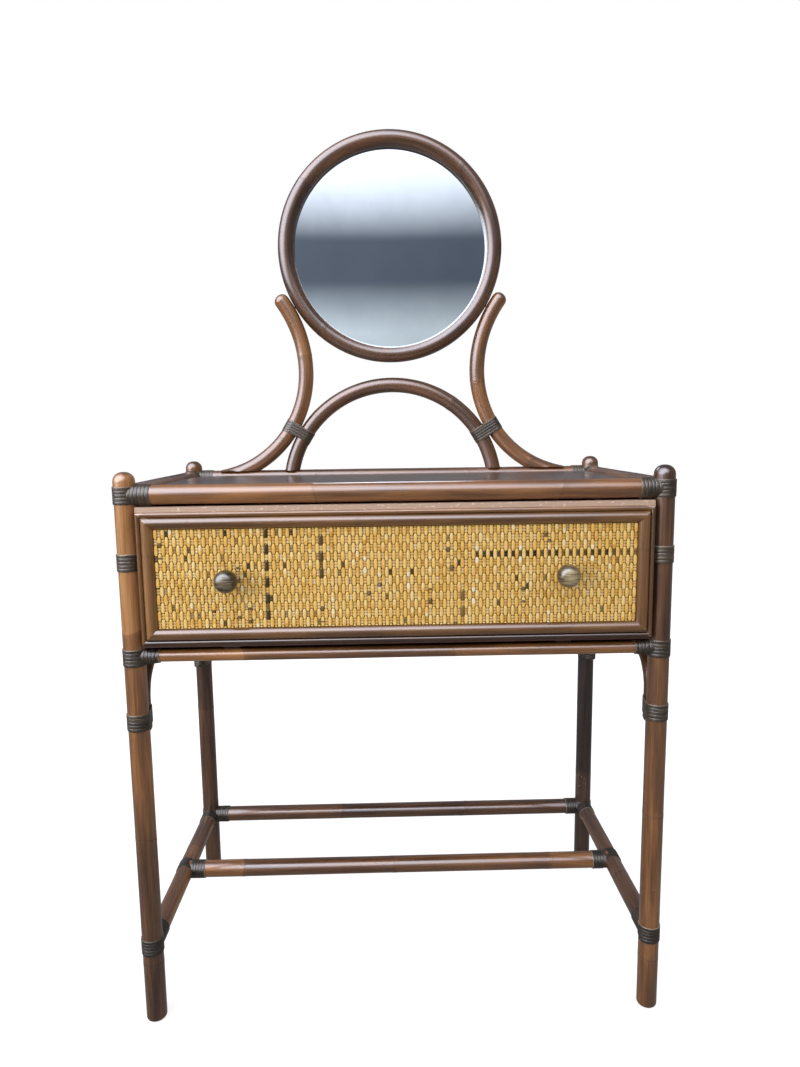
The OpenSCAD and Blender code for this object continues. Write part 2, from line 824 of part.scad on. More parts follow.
placed() mirror_x() corner_brace(1);  // back_brace_right
placed() tabletop();
placed() side_panel();  // side_panel_left
placed() mirror_x() side_panel();  // side_panel_right
placed() side_weave();  // side_weave_left
placed() mirror_x() side_weave();  // side_weave_right
placed() back_panel();
placed() dust_board();
placed() drawer_runner(-1);  // drawer_runner_left
placed() drawer_runner(1);  // drawer_runner_right
placed() drawer_guides();
placed() top_bearers();
placed() mirror_arm();  // mirror_arm_left
placed() mirror_x() mirror_arm();  // mirror_arm_right
placed() mirror_arch();
placed() top_corner_lashings();
placed() lower_corner_lashings();
placed() mid_leg_lashings();
placed() brace_leg_lashings();
placed() brace_rail_lashings();
placed() stretcher_lashings();
placed() middle_stretcher_lashings();
placed() mirror_stand_lashings();
placed() mirror_hoop();
placed() mirror_glass();
placed() mirror_backboard();
placed() mirror_turn_buttons();
placed() mirror_pivot_screws();
placed() drawer_front();
placed() drawer_weave();
placed() drawer_half_round_rails();
placed() drawer_half_round_stiles();
placed() drawer_beads();
placed() drawer_side();  // drawer_side_left
placed() mirror_x() drawer_side();  // drawer_side_right
placed() drawer_back();
placed() drawer_bottom();
placed() knob(-1);  // knob_left
placed() knob(1);  // knob_right
placed() knob_screws();
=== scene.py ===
"""Rattan dressing table with a woven drawer and a round tilting mirror, dressed for Blender 4.5.

Metres, in the frame of the CAD model: X to the right, Y to the back, Z up from the floor.
"""

import bpy
import numpy as np
from mathutils import Matrix


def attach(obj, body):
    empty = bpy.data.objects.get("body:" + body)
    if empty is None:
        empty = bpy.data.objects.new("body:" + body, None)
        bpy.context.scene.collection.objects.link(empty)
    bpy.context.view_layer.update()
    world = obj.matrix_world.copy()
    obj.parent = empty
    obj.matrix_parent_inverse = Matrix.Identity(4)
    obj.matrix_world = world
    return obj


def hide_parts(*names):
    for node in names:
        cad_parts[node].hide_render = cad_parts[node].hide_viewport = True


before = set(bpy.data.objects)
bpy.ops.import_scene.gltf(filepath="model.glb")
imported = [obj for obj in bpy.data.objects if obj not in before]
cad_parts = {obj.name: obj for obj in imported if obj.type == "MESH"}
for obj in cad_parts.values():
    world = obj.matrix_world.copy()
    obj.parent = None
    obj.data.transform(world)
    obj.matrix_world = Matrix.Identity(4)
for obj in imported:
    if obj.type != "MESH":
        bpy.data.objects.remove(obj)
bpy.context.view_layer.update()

# --- Camera
# Stands about a metre in front of the drawer, 70 mm above the tabletop, and looks 8 degrees
# down. Its lens is wide, so the side rails run in strongly.
yaw, pitch, roll = np.radians([1.10, 7.76, -0.74])
forward = np.array([np.sin(yaw) * np.cos(pitch), np.cos(yaw) * np.cos(pitch), -np.sin(pitch)])
level = np.array([np.cos(yaw), -np.sin(yaw), 0.0])
upright = np.cross(level, forward)
right = np.cos(roll) * level + np.sin(roll) * upright
up = -np.sin(roll) * level + np.cos(roll) * upright
camera = bpy.data.objects.new("camera", bpy.data.cameras.new("camera"))
camera.data.lens = 25.0
camera.data.sensor_width = 36.0
turn = Matrix((right, up, -forward)).transposed().to_4x4()
camera.matrix_world = Matrix.Translation((-0.0144, -1.12055, 0.8175)) @ turn
bpy.context.scene.collection.objects.link(camera)
bpy.context.scene.camera = camera
bpy.context.scene.view_settings.view_transform = "Standard"


# --- Studio
# A pale floor that runs out to a white background, under an overcast sky, with four soft lamps.
# A gloss sees no lamp, a dark floor, and a sky of its own: pale haze, a dark skyline over it, and
# open sky above, far brighter to the front and left, where the skyline drops.
def linear(colour):
    """Linear RGBA of an sRGB hex colour, by the sRGB curve."""
    channels = [int(colour[i : i + 2], 16) / 255 for i in (1, 3, 5)]
    return [c / 12.92 if c <= 0.04045 else ((c + 0.055) / 1.055) ** 2.4 for c in channels] + [1.0]


def add(tree, kind, values=None, links=None):
    """Adds a node with its settings and socket values, and links other nodes to it: a node by
    its first output, or one of its sockets."""
    made = tree.nodes.new("ShaderNode" + kind)
    for key, value in (values or {}).items():
        if key == "stops":
            for place, colour in value[1:-1]:
                made.color_ramp.elements.new(place)
            for stop, (place, colour) in zip(made.color_ramp.elements, value):
                stop.position = place
                stop.color = linear(colour)
        elif isinstance(key, int) or key in made.inputs.keys():
            made.inputs[key].default_value = value
        else:
            setattr(made, key, value)
    for key, source in (links or {}).items():
        socket = source if isinstance(source, bpy.types.NodeSocket) else source.outputs[0]
        tree.links.new(socket, made.inputs[key])
    return made


def background_rays(tree):
    """1 for the rays that show the background: to the camera, in a gloss or through glass."""
    path = add(tree, "LightPath")
    seen = add(tree, "Math", {"operation": "MAXIMUM"},
               {0: path.outputs["Is Camera Ray"], 1: path.outputs["Is Transmission Ray"]})
    return seen, path.outputs["Is Glossy Ray"]


def new_material(name):
    """A new material and its node tree, still empty."""
    made = bpy.data.materials.new(name)
    made.use_nodes = True
    made.node_tree.nodes.clear()
    return made, made.node_tree


world = bpy.data.worlds.new("overcast")
bpy.context.scene.world = world
world.use_nodes = True
sky = world.node_tree
sky.nodes.clear()
direction = add(sky, "TexCoord")
height = add(sky, "SeparateXYZ", links={0: direction.outputs["Generated"]})
climb = add(sky, "MapRange", {"From Min": -0.35, "From Max": 0.95}, {"Value": height.outputs[2]})
shade = add(sky, "ValToRGB", {"stops": [(0.0, "#5d5a56"), (0.27, "#a4a6a6"), (0.42, "#c3cad0"),
                                        (0.7, "#eaeaf8"), (1.0, "#eeebfc")]}, {0: climb})
daylight = add(sky, "Background", {"Strength": 0.8}, {"Color": shade})
leftward = add(sky, "MapRange", {"From Min": -0.15, "From Max": -0.85, "To Max": 0.6},
               {"Value": height})
raised = add(sky, "Math", {"operation": "ADD"}, {0: height.outputs[2], 1: leftward})
skyline = add(sky, "ValToRGB", {"stops": [(0.0, "#d3dae0"), (0.13, "#dde6ee"), (0.19, "#5f6674"),
                                          (0.24, "#5f6674"), (0.28, "#e9eefc"), (1.0, "#eceefc")]},
              {0: raised})
bright = add(sky, "MapRange", {"From Min": 0.28, "From Max": 0.62, "To Min": 1.0, "To Max": 9.0},
             {"Value": raised})
toward = add(sky, "VectorMath", {"operation": "DOT_PRODUCT", 1: (-0.5, -0.72, 0.48)},
             {0: direction.outputs["Generated"]})
open_sky = add(sky, "MapRange", {"From Min": 0.46, "From Max": 0.86},
               {"Value": toward.outputs["Value"]})
bright = add(sky, "Math", {"operation": "MULTIPLY_ADD", 2: 0.28}, {0: bright, 1: open_sky})
pale = add(sky, "Background", links={"Color": skyline, "Strength": bright})
white = add(sky, "Background", {"Color": (1, 1, 1, 1), "Strength": 1.0})
direct, glossy = background_rays(sky)
lit = add(sky, "MixShader", links={0: glossy, 1: daylight, 2: pale})
both = add(sky, "MixShader", links={0: direct, 1: lit, 2: white})
add(sky, "OutputWorld", links={0: both})

ground, tree = new_material("pale studio floor")
paint = add(tree, "BsdfDiffuse", {"Color": linear("#b9b7b4")})
glow = add(tree, "Emission", {"Color": (1, 1, 1, 1), "Strength": 0.72})
lifted = add(tree, "AddShader", links={0: paint, 1: glow})
direct, glossy = background_rays(tree)
mixed = add(tree, "MixShader", links={0: direct, 1: paint, 2: lifted})
dim = add(tree, "Emission", {"Color": (1, 1, 1, 1), "Strength": 0.22})
seen = add(tree, "MixShader", links={0: glossy, 1: mixed, 2: dim})
add(tree, "OutputMaterial", links={0: seen})
FLOOR_R, SIDES = 14, 64
around = np.linspace(0, 2 * np.pi, SIDES, endpoint=False)
rim = np.stack([FLOOR_R * np.cos(around), FLOOR_R * np.sin(around), np.zeros(SIDES)], 1)
mesh = bpy.data.meshes.new("floor")
mesh.from_pydata(rim.tolist(), [], [list(range(SIDES))])
mesh.materials.append(ground)
floor = bpy.data.objects.new("floor", mesh)
bpy.context.scene.collection.objects.link(floor)

# Each lamp is a disc of a width in metres, and all face the middle of the drawer's space.
for name, place, size, watts, tint in (
    ("overhead softbox", (-0.9, -1.3, 3.1), 2.4, 20, (1.0, 0.98, 0.97)),
    ("left softbox", (-2.3, -1.9, 1.3), 1.4, 34, (1.0, 0.95, 0.88)),
    ("right softbox", (2.6, -1.2, 1.9), 1.6, 15, (1.0, 0.96, 0.9)),
    ("back softbox", (0.7, 2.8, 1.7), 2.0, 30, (1.0, 0.97, 0.93)),
):
    lamp = bpy.data.lights.new(name, "AREA")
    lamp.shape, lamp.size, lamp.energy, lamp.color = "DISK", size, watts, tint
    lamp = bpy.data.objects.new(name, lamp)
    aim = np.array([0.0, 0.0, 0.7]) - np.array(place)
    aim /= np.linalg.norm(aim)
    aside = np.cross(aim, (0.0, 0.0, 1.0))
    aside /= np.linalg.norm(aside)
    turn = Matrix((aside, np.cross(aside, aim), -aim)).transposed().to_4x4()
    lamp.matrix_world = Matrix.Translation(place) @ turn
    lamp.visible_glossy = False
    bpy.context.scene.collection.objects.link(lamp)


# --- Legs
# Four straight rattan poles, 28 mm thick, stained dark and lacquered. The tops are turned to a
# dome and the feet to a small round, and the feet are worn and dirty. A growth ring stands out
# every 180 to 320 mm, and the depth of the stain changes there too.
rng = np.random.default_rng(7)


def stacked(*values):
    """Values side by side in a last axis, each spread to the same shape first."""
    return np.stack(np.broadcast_arrays(*values), -1)


def skin(grid, closed=False):
    """Points, quads and triangles of a tube whose grid has step i along it, step j round it.

    Quads join neighbouring rows. The long way closes on itself, or each end is closed by a fan
    to its middle. The faces are turned outward by the sign of the volume they enclose.
    """
    rows, cols = grid.shape[:2]
    points = grid.reshape(-1, 3)
    i = np.arange(rows if closed else rows - 1)[:, None]
    j = np.arange(cols)[None, :]
    far, beside = (i + 1) % rows, (j + 1) % cols
    quads = stacked(i * cols + j, far * cols + j, far * cols + beside, i * cols + beside)
    quads = quads.reshape(-1, 4)
    fans = np.zeros((0, 3), int)
    if not closed:
        points = np.vstack([points, grid[0].mean(0), grid[-1].mean(0)])
        step = np.arange(cols)
        after = (step + 1) % cols
        last = (rows - 1) * cols
        fans = np.vstack([np.stack([np.full(cols, rows * cols), step, after], 1),
                          np.stack([np.full(cols, rows * cols + 1), last + after, last + step], 1)])
    thirds = np.vstack([quads[:, [0, 1, 2]], quads[:, [0, 2, 3]], fans])
    a, b, c = points[thirds[:, 0]], points[thirds[:, 1]], points[thirds[:, 2]]
    if np.einsum("ij,ij->", a - points[0], np.cross(b - points[0], c - points[0])) < 0:
        quads, fans = quads[:, ::-1], fans[:, ::-1]
    return points, quads, fans


def dressed(grid, grain, look, closed=False):
    """A tube's skin with its values: grain is each point's place in the uncut cane, in metres,
    and look its tone, growth ring and wear, each from 0 to 1. On a winding the second and third are
    painted shade and a painted highlight, and on a weave the second is painted shade. End middles
    copy a neighbour."""
    points, quads, fans = skin(grid, closed)
    grain, look = grain.reshape(-1, 3), look.reshape(-1, 3)
    if not closed:
        grain, look = (np.vstack([v, v[0], v[-1]]) for v in (grain, look))
    return points, quads, fans, grain, look


def piece(name, parts, nodes, body, material):
    """One object from several dressed skins, in the place of its CAD nodes, on their body.
    Edges that turn by more than 0.7 radians, 40 degrees, stay sharp."""
    starts = np.cumsum([0] + [len(p[0]) for p in parts[:-1]])
    points = np.vstack([p[0] for p in parts])
    quads = np.vstack([p[1] + s for p, s in zip(parts, starts)])
    fans = np.vstack([p[2] + s for p, s in zip(parts, starts)])
    made = bpy.data.meshes.new(name)
    made.from_pydata(points.tolist(), [], quads.tolist() + fans.tolist())
    made.polygons.foreach_set("use_smooth", np.ones(len(made.polygons), bool))
    made.set_sharp_from_angle(angle=0.7)
    grain = made.attributes.new("grain", "FLOAT_VECTOR", "POINT")
    grain.data.foreach_set("vector", np.vstack([p[3] for p in parts]).astype(np.float32).ravel())
    shown = np.vstack([p[4] for p in parts])
    shown = np.hstack([np.clip(shown, 0, 1), np.ones((len(shown), 1))])
    look = made.attributes.new("look", "FLOAT_COLOR", "POINT")
    look.data.foreach_set("color", shown.astype(np.float32).ravel())
    made.materials.append(material)
    obj = bpy.data.objects.new(name, made)
    bpy.context.scene.collection.objects.link(obj)
    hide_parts(*nodes)
    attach(obj, body)


def sweep(path, side, outline, closed=False):
    """Carries an outline along a path. Its first value goes along side x tangent and its second
    along side, and it may change from point to point."""
    if closed:
        path = np.vstack([path[-1], path, path[0]])
    tangent = np.gradient(path, axis=0)
    tangent = (tangent / np.linalg.norm(tangent, axis=1, keepdims=True))[1 if closed else 0:]
    tangent = tangent[:-1] if closed else tangent
    path = path[1:-1] if closed else path
    outward = np.cross(side, tangent)
    outward /= np.linalg.norm(outward, axis=1, keepdims=True)
    across = np.cross(tangent, outward)
    return (path[:, None] + outline[..., :1] * outward[:, None]
            + outline[..., 1:] * across[:, None])


def pole(path, radius, rings, tones, side=(0, 1, 0), domes=(0, 0), wear=None, closed=False,
         section=None, fit=None, blend=0.003):
    """Skin of a rattan pole along a path of dense points.

    The radius swells by 2% at each growth ring, over 7 mm, with a 0.2 mm nick at its middle,
    and wavers by a few slow sine waves. A ring runs round at a slant, up to 5 mm off level, and
    the tone changes across it as a tanh of the distance over blend. domes are the radii of the
    rounding at the two ends: there the radius falls along a quarter circle, and the cut grain
    is darker. section can pare the round outline, and fit the finished grid of points.
    """
    lengths = np.r_[0, np.cumsum(np.linalg.norm(np.diff(path, axis=0), axis=1))]
    total = lengths[-1]
    rings = np.asarray(rings, float)
    bend = 1 - np.cos(np.linspace(0, np.pi / 2, 8))
    stops = [np.linspace(0, total, max(int(total / 0.006), 8) + 1),
             (rings[:, None] + np.linspace(-0.008, 0.008, 13)).ravel(),
             domes[0] * bend, total - domes[1] * bend]
    s = np.unique(np.round(np.clip(np.concatenate(stops), 0, total), 5))
    s = s[:-1] if closed else s
    centre = np.stack([np.interp(s, lengths, path[:, k]) for k in range(3)], 1)
    angle = np.linspace(0, 2 * np.pi, 36, endpoint=False)
    slant = rng.uniform(0.001, 0.005, len(rings)) * np.cos(
        angle[:, None] + rng.uniform(0, 6.28, len(rings)))
    gap = s[:, None, None] - rings - slant
    swell = 0.020 * np.exp(-((gap / 0.0035) ** 2)).sum(2)
    nick = 0.0002 * np.exp(-((gap / 0.0008) ** 2)).sum(2)
    phase = rng.uniform(0, 2 * np.pi, 4)
    offset = rng.uniform(0, 30)
    slow = 2 * np.pi * s[:, None] / total
    waver = (np.sin(2 * slow + phase[0]) + 0.6 * np.sin(5 * slow + phase[1])
             + np.sin(2 * angle + phase[2])[None] * np.sin(slow + phase[3]))
    fall = np.zeros_like(s)
    for rounding, distance in zip(domes, (s, total - s)):
        if rounding:
            inside = np.clip(rounding - distance, 0, rounding)
            fall += rounding - np.sqrt(rounding**2 - inside**2)
    size = radius * (1 + swell) + 0.00007 * waver - nick - fall[:, None]
    outline = np.stack([size * np.cos(angle), size * np.sin(angle)], -1)
    outline = section(outline) if section else outline
    grid = sweep(centre, side, outline, closed)
    grid = fit(grid) if fit else grid
    tone = tones[0] + (np.diff(tones) * (0.5 + 0.5 * np.tanh(gap / blend))).sum(2)
    tone = tone - 0.2 * np.clip(fall / 0.006, 0, 1)[:, None]
    ring = np.exp(-((gap / 0.0012) ** 2)).sum(2)
    wear_and_painted_highlight = wear(grid) if wear else np.zeros(grid.shape[:2])
    along = np.broadcast_to(s[:, None] + offset, wear_and_painted_highlight.shape)
    grain = np.concatenate([outline, along[..., None]], -1)
    return dressed(grid, grain, stacked(tone, ring, wear_and_painted_highlight), closed)


def straight(start, end):
    """Points every 2 mm from start to end."""
    start, end = np.array(start, float), np.array(end, float)
    t = np.linspace(0, 1, int(np.linalg.norm(end - start) / 0.002) + 2)[:, None]
    return start + (end - start) * t


def skin_values(tree):
    """A skin's own values: each point's place in the uncut cane, and the parts of its look."""
    place = add(tree, "Attribute", {"attribute_name": "grain"})
    shown = add(tree, "Attribute", {"attribute_name": "look"})
    part = add(tree, "SeparateColor", links={0: shown.outputs["Color"]})
    return place.outputs["Vector"], part.outputs


# Dark-stained lacquered rattan: the hard, glassy outer skin of the cane takes the stain in
# streaks along its fibres, and the lacquer gives a satin gloss that picks up the sky.
def lacquered(name, stops):
    """Stained cane skin: fibre bundles 0.8 mm wide that run on for 60 to 100 mm, streaks of
    stain 8 to 15 mm across and ten times as long, dark growth rings, and scuffs in flecks of
    1 to 2 mm. A value is the stain's tone, 0 the darkest, plus a share of each noise."""
    made, tree = new_material(name)
    place, part = skin_values(tree)
    drawn = add(tree, "Mapping", {"Scale": (620.0, 620.0, 11.0)}, {0: place})
    fibre = add(tree, "TexNoise", {"Scale": 1.0, "Detail": 3.0, "Roughness": 0.6},
                {"Vector": drawn})
    spread = add(tree, "Mapping", {"Scale": (90.0, 90.0, 8.0)}, {0: place})
    blotch = add(tree, "TexNoise", {"Scale": 1.0, "Detail": 4.0, "Roughness": 0.55},
                 {"Vector": spread})
    streaks = add(tree, "Math", {"operation": "MULTIPLY_ADD", 1: 0.42, 2: -0.21}, {0: fibre})
    depth = add(tree, "Math", {"operation": "MULTIPLY_ADD", 1: 0.6, 2: -0.3}, {0: blotch})
    tone = add(tree, "Math", {"operation": "ADD"}, {0: part[0], 1: streaks})
    tone = add(tree, "Math", {"operation": "ADD"}, {0: tone, 1: depth})
    stain = add(tree, "ValToRGB", {"stops": stops}, {0: tone})
    faint = add(tree, "Math", {"operation": "MULTIPLY", 1: 0.3}, {0: part[1]})
    scar = add(tree, "Mix", {"data_type": "RGBA", 7: linear("#2c170c")}, {0: faint, 6: stain})
    flecked = add(tree, "Mapping", {"Scale": (420.0, 420.0, 160.0)}, {0: place})
    fleck = add(tree, "TexNoise", {"Scale": 1.0, "Detail": 2.0}, {"Vector": flecked})
    rubbed = add(tree, "Math", {"operation": "MULTIPLY_ADD", 2: -0.62}, {0: part[2], 1: fleck})
    rubbed = add(tree, "Math", {"operation": "MULTIPLY_ADD", 1: 6.0, 2: 1.0, "use_clamp": True},
                 {0: rubbed})
    bare_wear_and_glint = add(tree, "Mix", {"data_type": "RGBA", 7: linear("#b7a184")},
               {0: rubbed, 6: scar.outputs[2]})
    dull = add(tree, "MapRange", {"To Min": 0.24, "To Max": 0.5}, {0: blotch})
    duller = add(tree, "Math", {"operation": "MULTIPLY_ADD", 1: 0.3}, {0: part[1], 2: dull})
    relief = add(tree, "Bump", {"Strength": 0.25, "Distance": 0.0004}, {"Height": fibre})
    surface = add(tree, "BsdfPrincipled", {"IOR": 1.5, "Coat Weight": 1.0, "Coat Roughness": 0.13},
                  {"Base Color": bare_wear_and_glint.outputs[2], "Roughness": duller, "Normal": relief})
    add(tree, "OutputMaterial", links={0: surface})
    return made


rattan = lacquered("stained lacquered rattan pole",
                   [(0.0, "#180e07"), (0.25, "#402919"), (0.48, "#704a2a"), (0.72, "#a8733f"),
                    (1.0, "#d0a268")])


def pole_piece(node, parts, body="frame"):
    """A stained pole in the place of its CAD node."""
    piece(node + "_pole", parts, [node], body, rattan)


def straight_pole(node, start, end, radius, rings, tones, **more):
    """A stained straight pole in the place of its CAD node."""
    pole_piece(node, [pole(straight(start, end), radius, rings, tones, **more)])


def foot_wear(grid):
    """Rubbed over the lowest 20 mm, with scuffs from 80 to 260 mm up on the right legs."""
    height = grid[..., 2]
    return (0.9 * np.exp(-height / 0.018)
            + 0.72 * np.exp(-(((height - 0.17) / 0.09) ** 2)) * (grid[..., 0] > 0))


LEG_X, FRONT_Y, BACK_Y = 0.350, -0.16125, 0.19375
LEG_R, LEG_TOP = 0.014, 0.772
for name, x, y, rings, tones, blend in (
    ("front_leg_left", -LEG_X, FRONT_Y, [0.085, 0.270, 0.563], [0.30, 0.32, 0.55, 0.76],
     [0.004, 0.045, 0.003]),
    ("front_leg_right", LEG_X, FRONT_Y, [0.075, 0.290, 0.528], [0.46, 0.52, 0.44, 0.32],
     [0.004, 0.060, 0.003]),
    ("back_leg_left", -LEG_X, BACK_Y, [0.140, 0.323, 0.640], [0.30, 0.33, 0.25, 0.50], 0.003),
    ("back_leg_right", LEG_X, BACK_Y, [0.181, 0.410, 0.655], [0.20, 0.05, 0.03, 0.50], 0.003),
):
    straight_pole(name, (x, y, 0), (x, y, LEG_TOP), LEG_R, rings, tones, domes=(0.004, 0.0125),
                  wear=foot_wear, blend=blend)

# --- Top rails
# Four 26 mm poles round the top board. Each is cut to fit between the legs, pinned through
# them, and hidden under the lashings at its ends.
RAIL_Z, RAIL_R = 0.742, 0.013
# The ends reach to 4 mm short of the legs' middles.
end_x, front_end, back_end = LEG_X - 0.004, FRONT_Y + 0.004, BACK_Y - 0.004
for name, y, rings, tones in (
    ("top_front_rail", FRONT_Y, [0.239, 0.561], [0.58, 0.52, 0.50]),
    ("top_back_rail", BACK_Y, [0.210, 0.480], [0.45, 0.38, 0.46]),
):
    straight_pole(name, (-end_x, y, RAIL_Z), (end_x, y, RAIL_Z), RAIL_R, rings, tones)
for name, x, rings, tones in (
    ("top_side_rail_left", -LEG_X, [0.19], [0.50, 0.42]),
    ("top_side_rail_right", LEG_X, [0.11, 0.30], [0.40, 0.46, 0.38]),
):
    straight_pole(name, (x, front_end, RAIL_Z), (x, back_end, RAIL_Z), RAIL_R, rings, tones,
                  side=(0, 0, 1))

# --- Thin rails
# Four 16 mm poles under the drawer, which tie the legs and carry the side boards. They are cut
# and pinned as the top rails are.
THIN_Z, THIN_R = 0.528, 0.008
for name, y, rings, tones in (
    ("lower_front_rail", FRONT_Y, [0.140, 0.420], [0.64, 0.44, 0.54]),
    ("lower_back_rail", BACK_Y, [0.260, 0.500], [0.35, 0.42, 0.36]),
):
    straight_pole(name, (-end_x, y, THIN_Z), (end_x, y, THIN_Z), THIN_R, rings, tones)
for name, x in (("lower_side_rail_left", -LEG_X), ("lower_side_rail_right", LEG_X)):
    straight_pole(name, (x, front_end, THIN_Z), (x, back_end, THIN_Z), THIN_R, [0.17],
                  [0.42, 0.36], side=(0, 0, 1))

# --- Stretchers
# An H of 26 mm poles near the floor with a fourth one across the back. The one across the
# middle has pale ends and a darker length between its first and last growth rings.
LOW_Z, MIDDLE_Y = 0.113, 0.01625
for name, x, rings, tones in (
    ("side_stretcher_left", -LEG_X, [0.225], [0.44, 0.36]),
    ("side_stretcher_right", LEG_X, [0.120], [0.34, 0.38]),
):
    straight_pole(name, (x, front_end, LOW_Z), (x, back_end, LOW_Z), RAIL_R, rings, tones,
                  side=(0, 0, 1))
straight_pole("middle_stretcher", (-LEG_X, MIDDLE_Y, LOW_Z), (LEG_X, MIDDLE_Y, LOW_Z), RAIL_R,
              [0.094, 0.340, 0.595], [0.56, 0.38, 0.44, 0.56], domes=(0.004, 0.004))
straight_pole("back_stretcher", (-end_x, BACK_Y, LOW_Z), (end_x, BACK_Y, LOW_Z), RAIL_R,
              [0.242, 0.470], [0.36, 0.30, 0.34])


# --- Corner braces
# Thin 19 mm poles bent to a quarter circle of 50 mm. Each stands beside a leg and runs along
# under the side rail, lashed to both. The front ones end in a short, outward-curling tip.
def arc(centre, radius, start, finish, flat=1):
    """Points every 2 mm along an arc in a vertical plane. Angles are in degrees from the
    horizontal axis number flat, rising towards Z."""
    count = int(abs(np.radians(finish - start)) * radius / 0.002) + 2
    angle = np.radians(np.linspace(start, finish, count))
    points = np.tile(np.array(centre, float), (count, 1))
    points[:, flat] += radius * np.cos(angle)
    points[:, 2] += radius * np.sin(angle)
    return points


BRACE_R, BEND_R, CURL_R = 0.0095, 0.050, 0.040
# Distances inwards from the leg's middle line: of the upright length, of the bend's and the
# curl's middles, and of the end under the rail.
BESIDE_LEG, BEND_Y, CURL_Y, END_Y = 0.0239, 0.0739, 0.0639, 0.1099
CURL_Z, FOOT_Z, BEND_Z, UNDER_Z = 0.4275, 0.4085, 0.4601, 0.5101
for side_name, x in (("left", -LEG_X), ("right", LEG_X)):
    bend = np.vstack([arc((x, BEND_Y, BEND_Z), BEND_R, 180, 90)[1:],
                      straight((x, BEND_Y, UNDER_Z), (x, END_Y, UNDER_Z))[1:]])
    front = np.vstack([arc((x, CURL_Y, CURL_Z), CURL_R, 201.7, 180),
                       straight((x, BESIDE_LEG, CURL_Z), (x, BESIDE_LEG, BEND_Z))[1:], bend])
    back = np.vstack([straight((x, BESIDE_LEG, FOOT_Z), (x, BESIDE_LEG, BEND_Z)), bend])
    for name, path, y, sign, domes in (("front", front, FRONT_Y, 1, (0.0085, 0.003)),
                                       ("back", back, BACK_Y, -1, (0.0015, 0.003))):
        path = path * (1, sign, 1) + (0, y, 0)
        pole_piece(f"{name}_brace_{side_name}",
                   [pole(path, BRACE_R, [0.062], [0.22, 0.3], side=(1, 0, 0), domes=domes)])

# --- Drawer runners
# Two 24 mm poles from front to back under the drawer, notched over the thin rails.
RUNNER_Z, RUNNER_R = 0.5306, 0.012
for name, x in (("drawer_runner_left", -0.222), ("drawer_runner_right", 0.222)):
    straight_pole(name, (x, FRONT_Y + 0.0045, RUNNER_Z), (x, BACK_Y - 0.0025, RUNNER_Z), RUNNER_R,
                  [0.13], [0.25, 0.3], side=(0, 0, 1))


# --- Mirror stand
# Two steam-bent 25.5 mm arms lean in from the back rail to a waist, and out again to the hoop,
# which they hold at their tips. A bent arch stands between them. Arms and arch are cut to a
# flat foot on the back rail.
ARM_R, WAIST_Z, ARCH_R, ARCH_Z = 0.01275, 0.9235, 0.180, 0.71975
SEAT_Z, TOE_X = 0.754, 0.3016


def on_rail(grid):
    """Flattens what would pass below the seat on the back rail, or out past the toe's cut."""
    grid = grid.copy()
    grid[..., 2] = np.maximum(grid[..., 2], SEAT_Z)
    grid[..., 0] = np.clip(grid[..., 0], -TOE_X, TOE_X)
    return grid


for name, mirrored, rings, tones in (("mirror_arm_left", 1, [0.110, 0.262], [0.56, 0.52, 0.49]),
                                     ("mirror_arm_right", -1, [0.155, 0.330], [0.50, 0.55, 0.46])):
    path = np.vstack([arc((-0.35334, BACK_Y, WAIST_Z), 0.205, 38.45, 0, 0),
                      arc((-0.33117, BACK_Y, WAIST_Z), 0.18283, 0, -84, 0)[1:]])
    pole_piece(name, [pole(path * (mirrored, 1, 1), ARM_R, rings, tones, domes=(0.011, 0),
                           fit=on_rail)])
pole_piece("mirror_arch", [pole(arc((0, BACK_Y, ARCH_Z), ARCH_R, 184, -4, 0), ARM_R,
                                [0.155, 0.405], [0.34, 0.40, 0.36], fit=on_rail)])


# --- Mirror hoop
# A 27 mm pole bent to a full ring, scarfed together at the bottom, with a rebate routed into
# its back for the glass.
def rebate(outline):
    """Pulls the outline back to a step 5 mm behind the middle, under the glass's edge."""
    step, lip = 0.005, 0.00754
    inward, back = outline[..., 0], outline[..., 1]
    cut = (inward < -lip) & (back > step)
    shelf = cut & (np.arctan2(back, -inward) < np.arctan2(step, lip))
    low = np.where(shelf, step, back)
    far = np.where(cut & ~shelf, -lip, inward)
    return np.stack([far, np.where(cut & ~shelf, np.maximum(step, back), low)], -1)


MIRROR_Z, HOOP_MID = 1.128, 0.1765
ring_path = arc((0, BACK_Y, MIRROR_Z), HOOP_MID, -90, 270, 0)
pole_piece("mirror_hoop", [pole(ring_path, 0.0135, [0.425, 0.72, 0.98],
                                [0.33, 0.36, 0.27, 0.33], closed=True, section=rebate)],
           "mirror")


# --- Lashings
# Flat strips of binding cane, 4.6 mm wide and 1.2 mm thick, stained nearly black. Each joint is
# wound with five or six turns side by side on each pole, and the strip's ends are tucked under.
upward = np.array([0.0, 0.0, 1.0])


def belt(angle, radii, reach):
    """Outline round two circles a distance apart: at each direction, the point that lies
    furthest out, on one circle or the other."""
    facing = np.stack([np.cos(angle), np.sin(angle)], -1)
    second = reach * facing[:, 0] + radii[1] > radii[0]
    centre = np.where(second[:, None], (reach, 0.0), (0.0, 0.0))
    return centre + np.where(second, radii[1], radii[0])[:, None] * facing, facing


